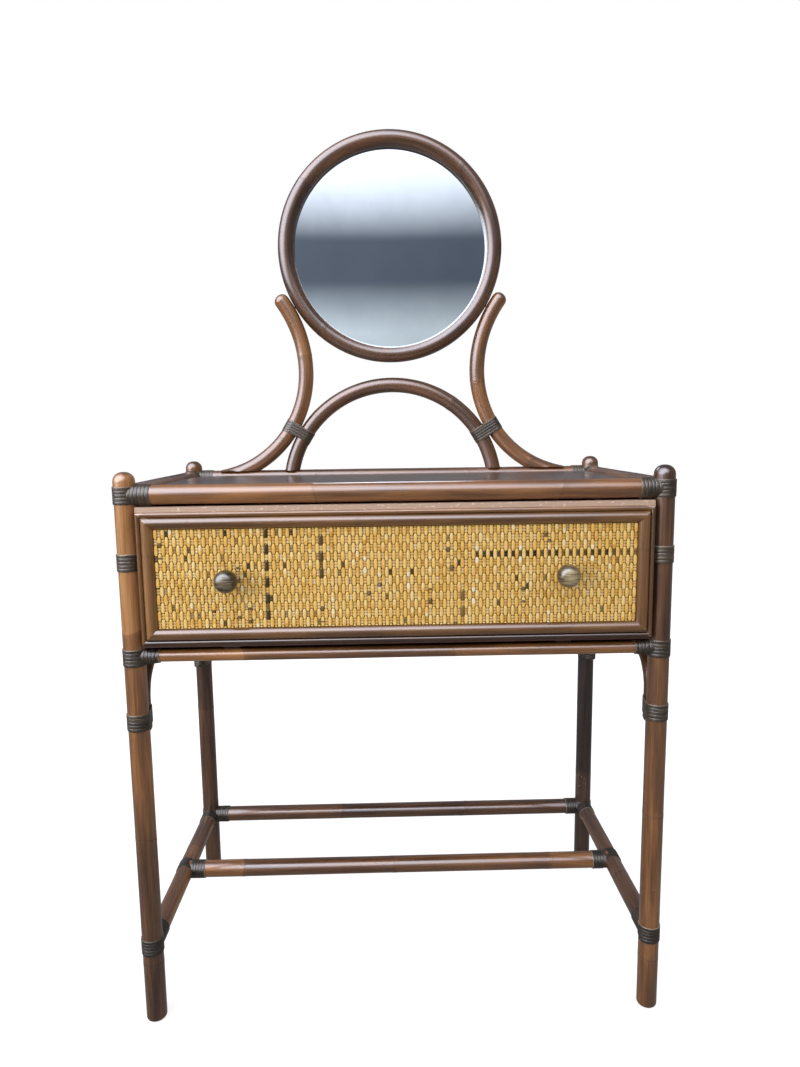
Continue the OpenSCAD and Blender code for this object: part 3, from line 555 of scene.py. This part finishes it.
def coil(middle, run, aside, radii, reach=0.0, tone=0.3, hidden=180.0, lift=0.0, turns=5,
         bare_wear_and_glint=0.0):
    """Skin of one strip wound round one pole or two.

    The pole lies along run, and the second one reach away from it towards aside. Each turn lies
    level and climbs to the next over its last seventh, hidden degrees round from aside. The
    strip's section is a low crown. Its ends dive 1.6 mm under. The far edge of the last turn,
    its top edge on a leg, is painted pale as a painted highlight, and a whole winding can be
    painted pale as painted glare.
    """
    steps, pitch = 42, 0.0046
    t = np.arange(turns * steps + 1) / steps
    whole = np.minimum(np.floor(t), turns - 1)
    late = np.clip((t - whole - 0.86) / 0.14, 0, 1)
    climb = np.where(whole < turns - 1, late * late * (3 - 2 * late), 0)
    wander = rng.uniform(-0.00022, 0.00022, (2, turns))
    slow = np.sin(2 * np.pi * t) * wander[0][whole.astype(int)]
    height = (whole + climb - (turns - 1) / 2) * pitch + slow
    centre, facing = belt(2 * np.pi * (t + 0.07) + np.radians(hidden), radii, reach)
    ends = np.minimum(t, turns - t) / 0.12
    out = lift * (1 - (whole + climb) / turns) - 0.0016 * np.clip(1 - ends, 0, 1) ** 2
    out = out + np.abs(wander[1][whole.astype(int)]) * 0.6
    third = np.cross(run, aside)
    place = middle + centre[:, :1] * aside + centre[:, 1:] * third + height[:, None] * run
    away = facing[:, :1] * aside + facing[:, 1:] * third
    wide = np.array([-2.2, -2.28, -1.9, -0.8, 0.8, 1.9, 2.28, 2.2]) / 1000
    thick = np.array([0.0, 0.86, 1.08, 1.16, 1.16, 1.08, 0.86, 0.0]) / 1000
    grid = (place[:, None] + wide[None, :, None] * run
            + (out[:, None] + thick[None, :])[..., None] * away[:, None])
    length = np.r_[0, np.cumsum(np.linalg.norm(np.diff(place, axis=0), axis=1))]
    grain = stacked(wide[None, :], thick[None, :], length[:, None] + rng.uniform(0, 30))
    shade = (tone + rng.uniform(-0.07, 0.07, turns))[whole.astype(int)][:, None]
    # Painted shade: each strip darkens towards its edges, where the turns meet.
    edge = np.array([1, 0.5, 0.05, 0, 0, 0.05, 0.5, 1])[None, :]
    last = (whole == turns - 1)[:, None] * np.array([0, 0, 0, 0, 0, 0.5, 1, 1])
    # Painted highlight: the far edge of the last turn, and a whole winding given a pale amount, are
    # painted pale as if catching the sky.
    core = np.maximum(bare_wear_and_glint, rng.uniform(0.1, 0.9) * last)
    return dressed(grid, grain, stacked(shade, edge * (1 - last), core))


def corner(x, y, z, rail_x=0.0, rail_y=0.0, tone=0.3, lift=0.0, bare_wear_and_glint=0.0):
    """The windings at one leg: on the leg, and on the rails that leave it inwards, where the
    middle of a winding lies 20.2 mm from the leg's."""
    inward = np.array([-np.sign(x), 0.0, 0.0])
    ahead = np.array([0.0, -np.sign(y), 0.0])
    at = np.array([x, y, z])
    made = [coil(at, upward, (inward + ahead) / np.sqrt(2), (LEG_R, LEG_R), tone=tone, hidden=0,
                 bare_wear_and_glint=bare_wear_and_glint)]
    for way, radius in ((inward, rail_x), (ahead, rail_y)):
        if radius:
            made.append(coil(at + 0.0202 * way, way, upward, (radius, radius), tone=tone,
                             lift=lift, turns=6))
    return made


# Stained binding cane: the outer skin of the rattan, split off and shaved flat. Its satin face
# shows fine lines along it, and the stain has rubbed thin in places. Each turn is darkened towards
# its edges with painted shade, and some edges are painted pale as a painted highlight.
cane, tree = new_material("stained split binding cane")
place, part = skin_values(tree)
# Fibre lines are 0.7 mm apart, and thin patches 15 to 30 mm long.
drawn = add(tree, "Mapping", {"Scale": (1500.0, 300.0, 14.0)}, {0: place})
fibre = add(tree, "TexNoise", {"Scale": 1.0, "Detail": 2.0}, {"Vector": drawn})
thin = add(tree, "Mapping", {"Scale": (90.0, 90.0, 45.0)}, {0: place})
patch = add(tree, "TexNoise", {"Scale": 1.0, "Detail": 3.0}, {"Vector": thin})
tone = add(tree, "Math", {"operation": "MULTIPLY_ADD", 1: 0.5}, {0: fibre, 2: part[0]})
tone = add(tree, "Math", {"operation": "MULTIPLY_ADD", 1: 0.55}, {0: patch, 2: tone})
tone = add(tree, "Math", {"operation": "SUBTRACT", 1: 0.5}, {0: tone})
stain = add(tree, "ValToRGB", {"stops": [(0.0, "#16110d"), (0.35, "#30281f"), (0.62, "#544734"),
                                         (1.0, "#8f7a5c")]}, {0: tone})
# Painted shade darkens the edges of each turn.
painted_edge_shade = add(tree, "Mix", {"data_type": "RGBA", 7: linear("#14100d")}, {0: part[1], 6: stain})
# Painted highlight: the pale mix stands for the sky's glint on a turn's edge.
core = add(tree, "Mix", {"data_type": "RGBA", 7: linear("#b3a691")},
           {0: part[2], 6: painted_edge_shade.outputs[2]})
dull = add(tree, "MapRange", {"To Min": 0.34, "To Max": 0.6}, {0: patch})
relief = add(tree, "Bump", {"Strength": 0.4, "Distance": 0.0003}, {"Height": fibre})
surface = add(tree, "BsdfPrincipled", {"Coat Weight": 0.35, "Coat Roughness": 0.3},
              {"Base Color": core.outputs[2], "Roughness": dull, "Normal": relief})
add(tree, "OutputMaterial", links={0: surface})


def lashing_piece(node, parts):
    """Wound joints of one kind in the place of their CAD node."""
    piece(node + "_cane", parts, [node], "frame", cane)


# Heights of the windings halfway up the drawer and at the front and back braces' lower ends.
MIDWAY_Z, FRONT_WOUND_Z, BACK_WOUND_Z = 0.655, 0.439, 0.420
corners = [(x, y) for x in (-LEG_X, LEG_X) for y in (FRONT_Y, BACK_Y)]
wound = [corner(x, y, RAIL_Z, RAIL_R, RAIL_R, tone=0.42) for x, y in corners]
lashing_piece("top_corner_lashings", sum(wound, []))
# The back-left lower winding is painted pale all over, a painted glare.
wound = [corner(x, y, THIN_Z, THIN_R, THIN_R, tone=0.34, lift=0.0024,
                bare_wear_and_glint=0.55 * (x < 0 < y)) for x, y in corners]
lashing_piece("lower_corner_lashings", sum(wound, []))
wound = [corner(x, FRONT_Y, MIDWAY_Z, tone=0.5) for x in (-LEG_X, LEG_X)]
lashing_piece("mid_leg_lashings", sum(wound, []))
wound = [corner(x, y, LOW_Z, RAIL_R if y > 0 else 0, RAIL_R, tone=0.26) for x, y in corners]
lashing_piece("stretcher_lashings", sum(wound, []))
by_leg, by_rail = [], []
for x, y in corners:
    ahead = np.array([0.0, -np.sign(y), 0.0])
    height = FRONT_WOUND_Z if y < 0 else BACK_WOUND_Z
    by_leg.append(coil(np.array([x, y, height]), upward, ahead, (LEG_R, BRACE_R), BESIDE_LEG,
                       tone=0.4, hidden=0))
    by_rail.append(coil(np.array([x, y, THIN_Z]) + 0.0984 * ahead, ahead, -upward,
                        (THIN_R, BRACE_R), 0.0179, tone=0.36))
lashing_piece("brace_leg_lashings", by_leg)
lashing_piece("brace_rail_lashings", by_rail)
wound = []
for x in (-LEG_X, LEG_X):
    inward = np.array([-np.sign(x), 0.0, 0.0])
    cross = np.array([x, MIDDLE_Y, LOW_Z])
    for at, run in ((cross, np.array([0.0, 1.0, 0.0])), (cross + 0.0215 * inward, inward)):
        wound.append(coil(at, run, -upward, (RAIL_R, RAIL_R), tone=0.26, hidden=0))
lashing_piece("middle_stretcher_lashings", wound)
wound = []
lean = np.radians(31.6)
for sign in (-1, 1):
    outward = np.array([sign * np.cos(lean), 0.0, np.sin(lean)])
    along = np.array([-outward[2] * sign, 0.0, abs(outward[0])])
    at = np.array([0.0, BACK_Y, ARCH_Z]) + ARCH_R * outward
    wound.append(coil(at, along, outward, (ARM_R, ARM_R), 0.026, tone=0.42, hidden=90))
lashing_piece("mirror_stand_lashings", wound)


# --- Drawer mouldings
# Split poles, 16 mm wide, mitred round the weave, with a thin round bead outside them. Both are
# pinned to the front board. The lacquer is chipped at the corners and along the top.
# The board's face and its middle's height, and half the width and height over the beads.
FACE_Y, TRIM_Z = FRONT_Y - LEG_R, 0.6335
HALF_X, HALF_Z = 0.3340, 0.0870
BEAD, SPLIT_R = 0.0062, 0.008


def mitred(half_x, half_z, profile, turn, tone, chips):
    """Skin of one bar of a mitred frame round the drawer front's middle.

    A profile point is (in, out): its distance in from the frame's outer edge and out from the
    board. At a place t from -1 to 1 along the bar it lies at t (half length - in), so both
    ends are cut at 45 degrees. Turned by 0 degrees the bar is the bottom one. The wear falls
    off over 16 mm from each mitre, and on the top bar over 4 mm from its outer edge.
    """
    profile = np.array(profile)
    long, across = (half_x, half_z) if turn % 180 == 0 else (half_z, half_x)
    t = np.linspace(-1, 1, int(2 * long / 0.004) + 1)[:, None]
    along = t * (long - profile[:, 0] - 0.0001)
    inward = np.broadcast_to(profile[:, 0] - across, along.shape)
    c, s = np.round((np.cos(np.radians(turn)), np.sin(np.radians(turn))))
    out = np.broadcast_to(profile[:, 1], along.shape)
    grid = np.stack([c * along - s * inward, FACE_Y - out, TRIM_Z + s * along + c * inward], -1)
    grain = np.stack([inward + rng.uniform(0, 9), out, along + rng.uniform(0, 30)], -1)
    corner_wear = np.exp(-((long - np.abs(along)) / 0.016) ** 2) * chips
    waver = 0.5 + 0.5 * np.sin(along * rng.uniform(60, 90) + rng.uniform(0, 6))
    top_wear = (turn == 180) * 0.55 * waver * np.exp(-((profile[:, 0] / 0.004) ** 2))
    ring = np.zeros_like(along)
    for place in rng.uniform(-0.9, 0.9, int(long / 0.15) + 1) * long:
        ring += np.exp(-(((along - place) / 0.0012) ** 2))
    look = np.stack([np.full(along.shape, tone), ring, corner_wear + top_wear], -1)
    return dressed(grid, grain, look)


half_turn = np.radians(np.linspace(0, 180, 15))
split_profile = SPLIT_R * np.stack([1 - np.cos(half_turn), np.sin(half_turn)], 1)
crown = (0, 0.0014) + BEAD / 2 * np.stack([1 - np.cos(half_turn), np.sin(half_turn)], 1)
bead_profile = np.vstack([(0, 0), crown, (BEAD, 0)])
moulding = lacquered("gloss-lacquered split rattan",
                     [(0.0, "#1a1008"), (0.25, "#402810"), (0.5, "#6d4924"), (0.74, "#966b3a"),
                      (1.0, "#bb9058")])
for node, turns, tones in (("drawer_half_round_rails", (0, 180), (0.46, 0.45)),
                           ("drawer_half_round_stiles", (90, 270), (0.56, 0.64))):
    bars = [mitred(HALF_X - BEAD, HALF_Z - BEAD, split_profile, turn, tone, 0.92)
            for turn, tone in zip(turns, tones)]
    piece(node + "_cane", bars, [node], "drawer", moulding)
# Painted light on the beads: the bottom bar is painted dark as painted shade, the top bar pale as a
# painted highlight.
bars = [mitred(HALF_X, HALF_Z, bead_profile, turn, tone, 0.96)
        for turn, tone in ((0, 0.16), (90, 0.34), (180, 0.58), (270, 0.46))]
piece("drawer_beads_cane", bars, ["drawer_beads"], "drawer", moulding)


# --- Woven cane
# Strips of unstained cane, 4.7 mm wide, run up and down. Pairs of 3.6 mm strands cross them,
# over one strip and under the next. Here and there a strip or a strand is dark, more often in
# the left third. The drawer's panel fills its frame, and a panel covers each side board.
STRIP_HALF, STRAND_HALF = 0.00242, 0.0018


def woven(origin, across, out, shape, pitch, rise, dark_columns=(), dark_rows=()):
    """Skins of the upright strips and of the crossing strands of a woven panel.

    Strip i passes over the pair of strands k where i + k is odd. With d the distance in rows
    to the nearest pair that it passes under, its face stands 0.9 mm off the board up to
    d = 0.26 and about 2.9 mm from d = 0.48 on, and its width grows from 54% to 100% between
    d = 0.28 and 0.74, so each float is a long oval. A strand stands out 1.85 mm over a strip
    and 0.8 mm behind one. A dark column is (strip, first row, last row, depth of the stain),
    and a dark row (row, first strip, last strip).
    """
    origin, across, out = np.array(origin), np.array(across), np.array(out)
    columns, rows = shape
    v = np.linspace(0, rows, rows * 12 + 1)
    side = np.array([-1, -0.62, 0, 0.62, 1])
    crown = np.array([0, 0.0006, 0.0007, 0.0006, 0])
    # Painted shade across a strip's five points, darkest at its edges, and each strip's chance of a
    # dark knot beside it.
    edge = np.array([0.78, 0.12, 0, 0.12, 0.78])
    spotted = 0.035 + 0.07 * (np.arange(columns) < columns / 3)
    strips = []
    for i in range(columns):
        phase = v - 0.5 + i % 2
        near = np.minimum(phase % 2, 2 - phase % 2)
        rise_up = np.clip((near - 0.26) / 0.22, 0, 1)
        lift = rise_up * rise_up * (3 - 2 * rise_up)
        swell = np.clip((near - 0.28) / 0.46, 0, 1)
        half = STRIP_HALF * (0.54 + 0.46 * np.sin(swell * np.pi / 2)) * rng.uniform(0.95, 1.0)
        base = 0.0002 + 0.0018 * lift + 0.00025 * np.sin(near * np.pi / 2)
        u = (i + 0.5) * pitch + half[:, None] * side + rng.normal(0, 0.00013)
        n = base[:, None] + crown
        grid = (origin + u[..., None] * across + (v * rise)[:, None, None] * upward
                + n[..., None] * out)
        which = ((phase + 1) // 2).astype(int)
        tones = 0.66 + rng.uniform(-0.04, 0.04) + rng.normal(0, 0.09, which.max() + 1)
        # Painted highlight: about one float in 125 is painted pale.
        tones = tones + 0.35 * (rng.uniform(size=which.max() + 1) < 0.008)
        dark = np.where(rng.uniform(size=which.max() + 1) < 0.018, 0.8, 0.0)[which]
        dark = dark * (np.sin(3.1 * v + i) > 0.2)
        for column, start, finish, amount in dark_columns:
            dark = np.maximum(dark, amount * (column == i) * (v > start) * (v < finish) * lift)
        # Painted shade: a strip darkens at its edges and where it dips towards the strands.
        painted_gap_shade = np.clip(edge[None] + 1.7 * (1 - lift[:, None]), 0, 1)
        grain = stacked(half[:, None] * side, crown[None],
                        (v * rise)[:, None] + rng.uniform(0, 30))
        look = stacked(tones[which][:, None], painted_gap_shade, dark[:, None])
        strips.append(dressed(grid, grain, look))
    strands = []
    steps = np.arange(columns * 3)
    u = (steps + 0.5) * pitch / 3
    u[0], u[-1] = 0.0001, columns * pitch - 0.0001
    i, inner = steps // 3, steps % 3 == 1
    for k in range(rows):
        over = (i + k) % 2 == 0
        base = np.where(over, np.where(inner, 0.00115, 0.00095), np.where(inner, 0.0001, 0.0003))
        # Painted highlight: about one strand in 33 is painted pale.
        dashes = (0.70 + rng.normal(0, 0.10, columns) + 0.3 * (rng.uniform(size=columns) < 0.03))[i]
        knots = np.where(rng.uniform(size=columns) < spotted, rng.uniform(0.3, 1, columns), 0)[i]
        for row, start, finish in dark_rows:
            stained = rng.uniform(0.6, 1.0, columns)[i]
            knots = np.maximum(knots, stained * (row == k) * (i >= start) * (i < finish))
        for shift in (-0.00185, 0.00185):
            height = (k + 0.5) * rise + shift + STRAND_HALF * side
            n = base[:, None] + crown
            grid = (origin + u[:, None, None] * across + height[:, None] * upward
                    + n[..., None] * out)
            # Painted shade: a strand darkens at its edges and where it passes behind a strip.
            painted_gap_shade = np.clip(edge[None] + np.where(over, 0.3 * (1 - inner), 0.9)[:, None], 0, 1)
            grain = stacked(STRAND_HALF * side[None], crown[None],
                            u[:, None] + rng.uniform(0, 30))
            look = stacked(dashes[:, None], painted_gap_shade, knots[:, None])
            strands.append(dressed(grid, grain, look))
    return strips, strands


# Unstained cane: the strips keep their straw-yellow skin, the strands are its duller core. Both
# have fine fibre lines, painted shade in the gaps and where they pass under, and turn dark brown at
# a knot or a stained length.
def natural_cane(name, stops, coat):
    """Woven cane in a range of tones, with fibre lines 0.4 mm apart."""
    made, tree = new_material(name)
    place, part = skin_values(tree)
    drawn = add(tree, "Mapping", {"Scale": (2400.0, 900.0, 60.0)}, {0: place})
    fibre = add(tree, "TexNoise", {"Scale": 1.0, "Detail": 2.0}, {"Vector": drawn})
    tone = add(tree, "Math", {"operation": "MULTIPLY_ADD", 1: 0.5, 2: -0.25}, {0: fibre})
    tone = add(tree, "Math", {"operation": "ADD"}, {0: tone, 1: part[0]})
    straw = add(tree, "ValToRGB", {"stops": stops}, {0: tone})
    # Painted shade darkens the gaps and the parts that pass under.
    painted_gap_shade = add(tree, "Math", {"operation": "POWER", 1: 2.0}, {0: part[1]})
    painted_gap_shade = add(tree, "Math", {"operation": "MULTIPLY", 1: 0.85}, {0: painted_gap_shade})
    gap_shaded_straw = add(tree, "Mix", {"data_type": "RGBA", 7: linear("#5a2d10")}, {0: painted_gap_shade, 6: straw})
    knot = add(tree, "Mix", {"data_type": "RGBA", 7: linear("#1e100b")},
               {0: part[2], 6: gap_shaded_straw.outputs[2]})
    dull = add(tree, "MapRange", {"To Min": 0.32, "To Max": 0.55}, {0: fibre})
    relief = add(tree, "Bump", {"Strength": 0.3, "Distance": 0.0002}, {"Height": fibre})
    surface = add(tree, "BsdfPrincipled",
                  {"Specular IOR Level": 0.25, "Coat Weight": coat, "Coat Roughness": 0.25},
                  {"Base Color": knot.outputs[2], "Roughness": dull, "Normal": relief})
    add(tree, "OutputMaterial", links={0: surface})
    return made


strip_cane = natural_cane("unstained cane skin, woven", [(0.0, "#916022"), (0.35, "#d8a146"),
                          (0.6, "#f5c766"), (0.85, "#fcdd8e"), (1.0, "#fff0c8")], 0.12)
strand_cane = natural_cane("unstained cane core, woven", [(0.0, "#94652c"), (0.4, "#cf9e4c"),
                           (0.7, "#ecc070"), (1.0, "#fde4b0")], 0.0)
panels = [("drawer_weave", "drawer", (-0.3114, FACE_Y, TRIM_Z - 0.0646), (1, 0, 0), (0, -1, 0),
           (133, 12), 0.6228 / 133, 0.1292 / 12,
           ((30, 0, 12, 0.95), (45, 5.2, 12, 0.9), (84, 0.5, 5, 0.75)), ((8, 88, 133),))]
for sign, side_name in ((-1, "left"), (1, "right")):
    panels.append((f"side_weave_{side_name}", "frame", (sign * 0.353, FRONT_Y + 0.0135, 0.5345),
                   (0, 1, 0), (sign, 0, 0), (70, 18), 0.328 / 70, 0.1955 / 18))
for node, body, *layout in panels:
    strips, strands = woven(*layout)
    piece(node + "_strips", strips, [node], body, strip_cane)
    piece(node + "_strands", strands, [node], body, strand_cane)

# --- Knobs
# Two turned wooden knobs, 30 mm across, screwed on through the front board. The stain has gone
# grey and streaky, and the left one is darker.

# In millimetres: a neck of radius 8, a ball of radius 15 round a middle 18 out, from its turn
# into the neck at -58 degrees to 44 degrees, and a flatter cap of radius 24.
ball = np.linspace(-1.0092, 0.7713, 22)
cap = np.linspace(0.4649, 0.02, 8)[1:]
height = np.concatenate([(0, 5.3), 18 + 15 * np.sin(ball), 7 + 24 * np.cos(cap)])
girth = np.concatenate([(8, 8), 15 * np.cos(ball), 24 * np.sin(cap)])
round_angle = np.linspace(0, 2 * np.pi, 40, endpoint=False)
around = np.stack([np.cos(round_angle), np.zeros(40), np.sin(round_angle)], 1)
# Turned wood, stained and waxed: its fine lines take the grey unevenly. They are 1 to 2 mm
# apart and run from side to side.
turned, tree = new_material("turned wood, greyed stain")
place, part = skin_values(tree)
drawn = add(tree, "Mapping", {"Scale": (60.0, 120.0, 620.0)}, {0: place})
lines = add(tree, "TexNoise", {"Scale": 1.0, "Detail": 3.0, "Distortion": 0.4}, {"Vector": drawn})
tone = add(tree, "Math", {"operation": "MULTIPLY_ADD", 1: 1.3, 2: -0.65}, {0: lines})
tone = add(tree, "Math", {"operation": "ADD"}, {0: tone, 1: part[0]})
stain = add(tree, "ValToRGB", {"stops": [(0.0, "#171109"), (0.35, "#3d3526"), (0.62, "#7d6f52"),
                                         (1.0, "#bfae82")]}, {0: tone})
dull = add(tree, "MapRange", {"To Min": 0.3, "To Max": 0.5}, {0: lines})
surface = add(tree, "BsdfPrincipled", {"Coat Weight": 1.0, "Coat Roughness": 0.15},
              {"Base Color": stain, "Roughness": dull})
add(tree, "OutputMaterial", links={0: surface})
for name, x, tone in (("knob_left", -0.218, 0.40), ("knob_right", 0.218, 0.70)):
    grid = (np.array([x, FACE_Y - 0.003, TRIM_Z]) + girth[:, None, None] / 1000 * around
            - height[:, None, None] / 1000 * np.array([0.0, 1.0, 0.0]))
    # Painted shade: each knob's tone falls towards its widest girth, a darker rim round it.
    rim = tone + 0.12 - 0.56 * (girth / 15)[:, None] ** 3
    look = stacked(rim, 0, grid[..., 0] * 0)
    piece(name + "_turned", [dressed(grid, grid + (x, 0, 0), look)], [name], "drawer",
          turned)


# --- Boards
# Solid board and plywood, stained a dull brown: the sides, back and bottom of the carcass, the
# strips beside and over the drawer, the drawer's front and box, and the mirror's back.
def board(name, along, stops, gloss, coat):
    """Stained wood in object coordinates, its grain along axis number along: streaks 2 mm wide
    and 150 mm long, pores 0.4 mm wide, and slow changes of tone over 100 mm."""
    made, tree = new_material(name)
    place = add(tree, "TexCoord")
    waves = []
    for fine, coarse in ((480.0, 7.0), (2400.0, 60.0), (12.0, 4.0)):
        scale = [fine, fine, fine]
        scale[along] = coarse
        drawn = add(tree, "Mapping", {"Scale": scale}, {0: place.outputs["Object"]})
        waves.append(add(tree, "TexNoise", {"Scale": 1.0, "Detail": 3.0}, {"Vector": drawn}))
    tone = add(tree, "Math", {"operation": "MULTIPLY_ADD", 1: 0.55, 2: -0.1}, {0: waves[0]})
    for wave, share in ((waves[1], 0.3), (waves[2], 0.35)):
        tone = add(tree, "Math", {"operation": "MULTIPLY_ADD", 1: share}, {0: wave, 2: tone})
    stain = add(tree, "ValToRGB", {"stops": stops}, {0: tone})
    dull = add(tree, "MapRange", {"To Min": gloss, "To Max": gloss + 0.2}, {0: waves[0]})
    relief = add(tree, "Bump", {"Strength": 0.2, "Distance": 0.0003}, {"Height": waves[1]})
    surface = add(tree, "BsdfPrincipled", {"Coat Weight": coat, "Coat Roughness": 0.2},
                  {"Base Color": stain, "Roughness": dull, "Normal": relief})
    add(tree, "OutputMaterial", links={0: surface})
    return made


def dress_nodes(material, *nodes):
    """Puts a material on CAD nodes whose shape stays."""
    for node in nodes:
        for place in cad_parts[node].material_slots:
            place.material = material


brown = [(0.0, "#24160e"), (0.35, "#4a3020"), (0.6, "#6d4a31"), (1.0, "#946b49")]
dress_nodes(board("stained board, grain from side to side", 0, brown, 0.45, 0.0),
            "back_panel", "drawer_back", "drawer_bottom", "mirror_backboard")
dress_nodes(board("stained board, grain from front to back", 1, brown, 0.45, 0.0),
            "side_panel_left", "side_panel_right", "dust_board", "drawer_guides", "top_bearers",
            "drawer_side_left", "drawer_side_right")
front_board = board("front board, dark lacquer", 0,
                    [(0.0, "#180b06"), (0.5, "#3a1f13"), (1.0, "#643a22")], 0.4, 0.1)
# Above the bead the board is painted pale, a painted highlight of light from above on its top edge,
# with pale chips of 1 to 3 mm, twice as long as high.
tree = front_board.node_tree
surface = tree.nodes["Principled BSDF"]
place = add(tree, "TexCoord").outputs["Object"]
level = add(tree, "SeparateXYZ", links={0: place})
trim_top = TRIM_Z + HALF_Z
above = add(tree, "MapRange", {"From Min": trim_top - 0.003, "From Max": trim_top, "To Max": 0.76},
            {"Value": level.outputs[2]})
wear_and_painted_highlight = add(tree, "Mix", {"data_type": "RGBA", 7: linear("#dfc1aa")},
           {0: above, 6: surface.inputs["Base Color"].links[0].from_socket})
stretched = add(tree, "Mapping", {"Scale": (160.0, 160.0, 330.0)}, {0: place})
flaked = add(tree, "TexNoise", {"Scale": 1.0, "Detail": 3.0}, {"Vector": stretched})
chips = add(tree, "MapRange", {"From Min": 0.61, "From Max": 0.65}, {"Value": flaked})
chips = add(tree, "Math", {"operation": "MULTIPLY"}, {0: chips, 1: above})
chipped = add(tree, "Mix", {"data_type": "RGBA", 7: linear("#f0e2cc")},
              {0: chips, 6: wear_and_painted_highlight.outputs[2]})
tree.links.new(chipped.outputs[2], surface.inputs["Base Color"])
dress_nodes(front_board, "drawer_front")

# --- Tabletop
# A board let in between the top rails, 8 mm below their tops, with a dark stain and a worn
# satin lacquer.
dress_nodes(board("tabletop, dark satin lacquer", 0,
                  [(0.0, "#2a1f1a"), (0.4, "#4d3d36"), (0.7, "#6a5950"), (1.0, "#857263")],
                  0.26, 0.8),
            "tabletop")

# --- Mirror glass
# Float glass, silvered behind, held in the hoop's rebate by its backboard. A trace of dust
# dulls it unevenly, in patches of 50 mm.
silvered, tree = new_material("silvered float glass")
place = add(tree, "TexCoord")
dust = add(tree, "TexNoise", {"Scale": 18.0, "Detail": 5.0}, {"Vector": place.outputs["Object"]})
film = add(tree, "ValToRGB", {"stops": [(0.3, "#dfe6e8"), (0.75, "#d3dade")]}, {0: dust})
haze = add(tree, "MapRange", {"From Min": 0.35, "From Max": 0.8, "To Min": 0.004, "To Max": 0.05},
           {0: dust})
surface = add(tree, "BsdfPrincipled", {"Metallic": 1.0}, {"Base Color": film, "Roughness": haze})
add(tree, "OutputMaterial", links={0: surface})
dress_nodes(silvered, "mirror_glass")


# --- Metal fittings
# Brass turn buttons hold the mirror's backboard. Steel screws hold the knobs and the mirror.
def metal(name, dark, light):
    """Plain metal gone dull: tarnish in patches of 3 to 5 mm, which are rougher."""
    made, tree = new_material(name)
    place = add(tree, "TexCoord")
    patch = add(tree, "TexNoise", {"Scale": 260.0, "Detail": 4.0},
                {"Vector": place.outputs["Object"]})
    tarnish = add(tree, "ValToRGB", {"stops": [(0.35, dark), (0.65, light)]}, {0: patch})
    dull = add(tree, "MapRange", {"To Min": 0.5, "To Max": 0.28}, {0: patch})
    surface = add(tree, "BsdfPrincipled", {"Metallic": 1.0},
                  {"Base Color": tarnish, "Roughness": dull})
    add(tree, "OutputMaterial", links={0: surface})
    return made


dress_nodes(metal("tarnished brass", "#6f5c34", "#b49a5e"), "mirror_turn_buttons")
dress_nodes(metal("dull steel", "#5c5854", "#a5a29d"), "mirror_pivot_screws", "knob_screws")
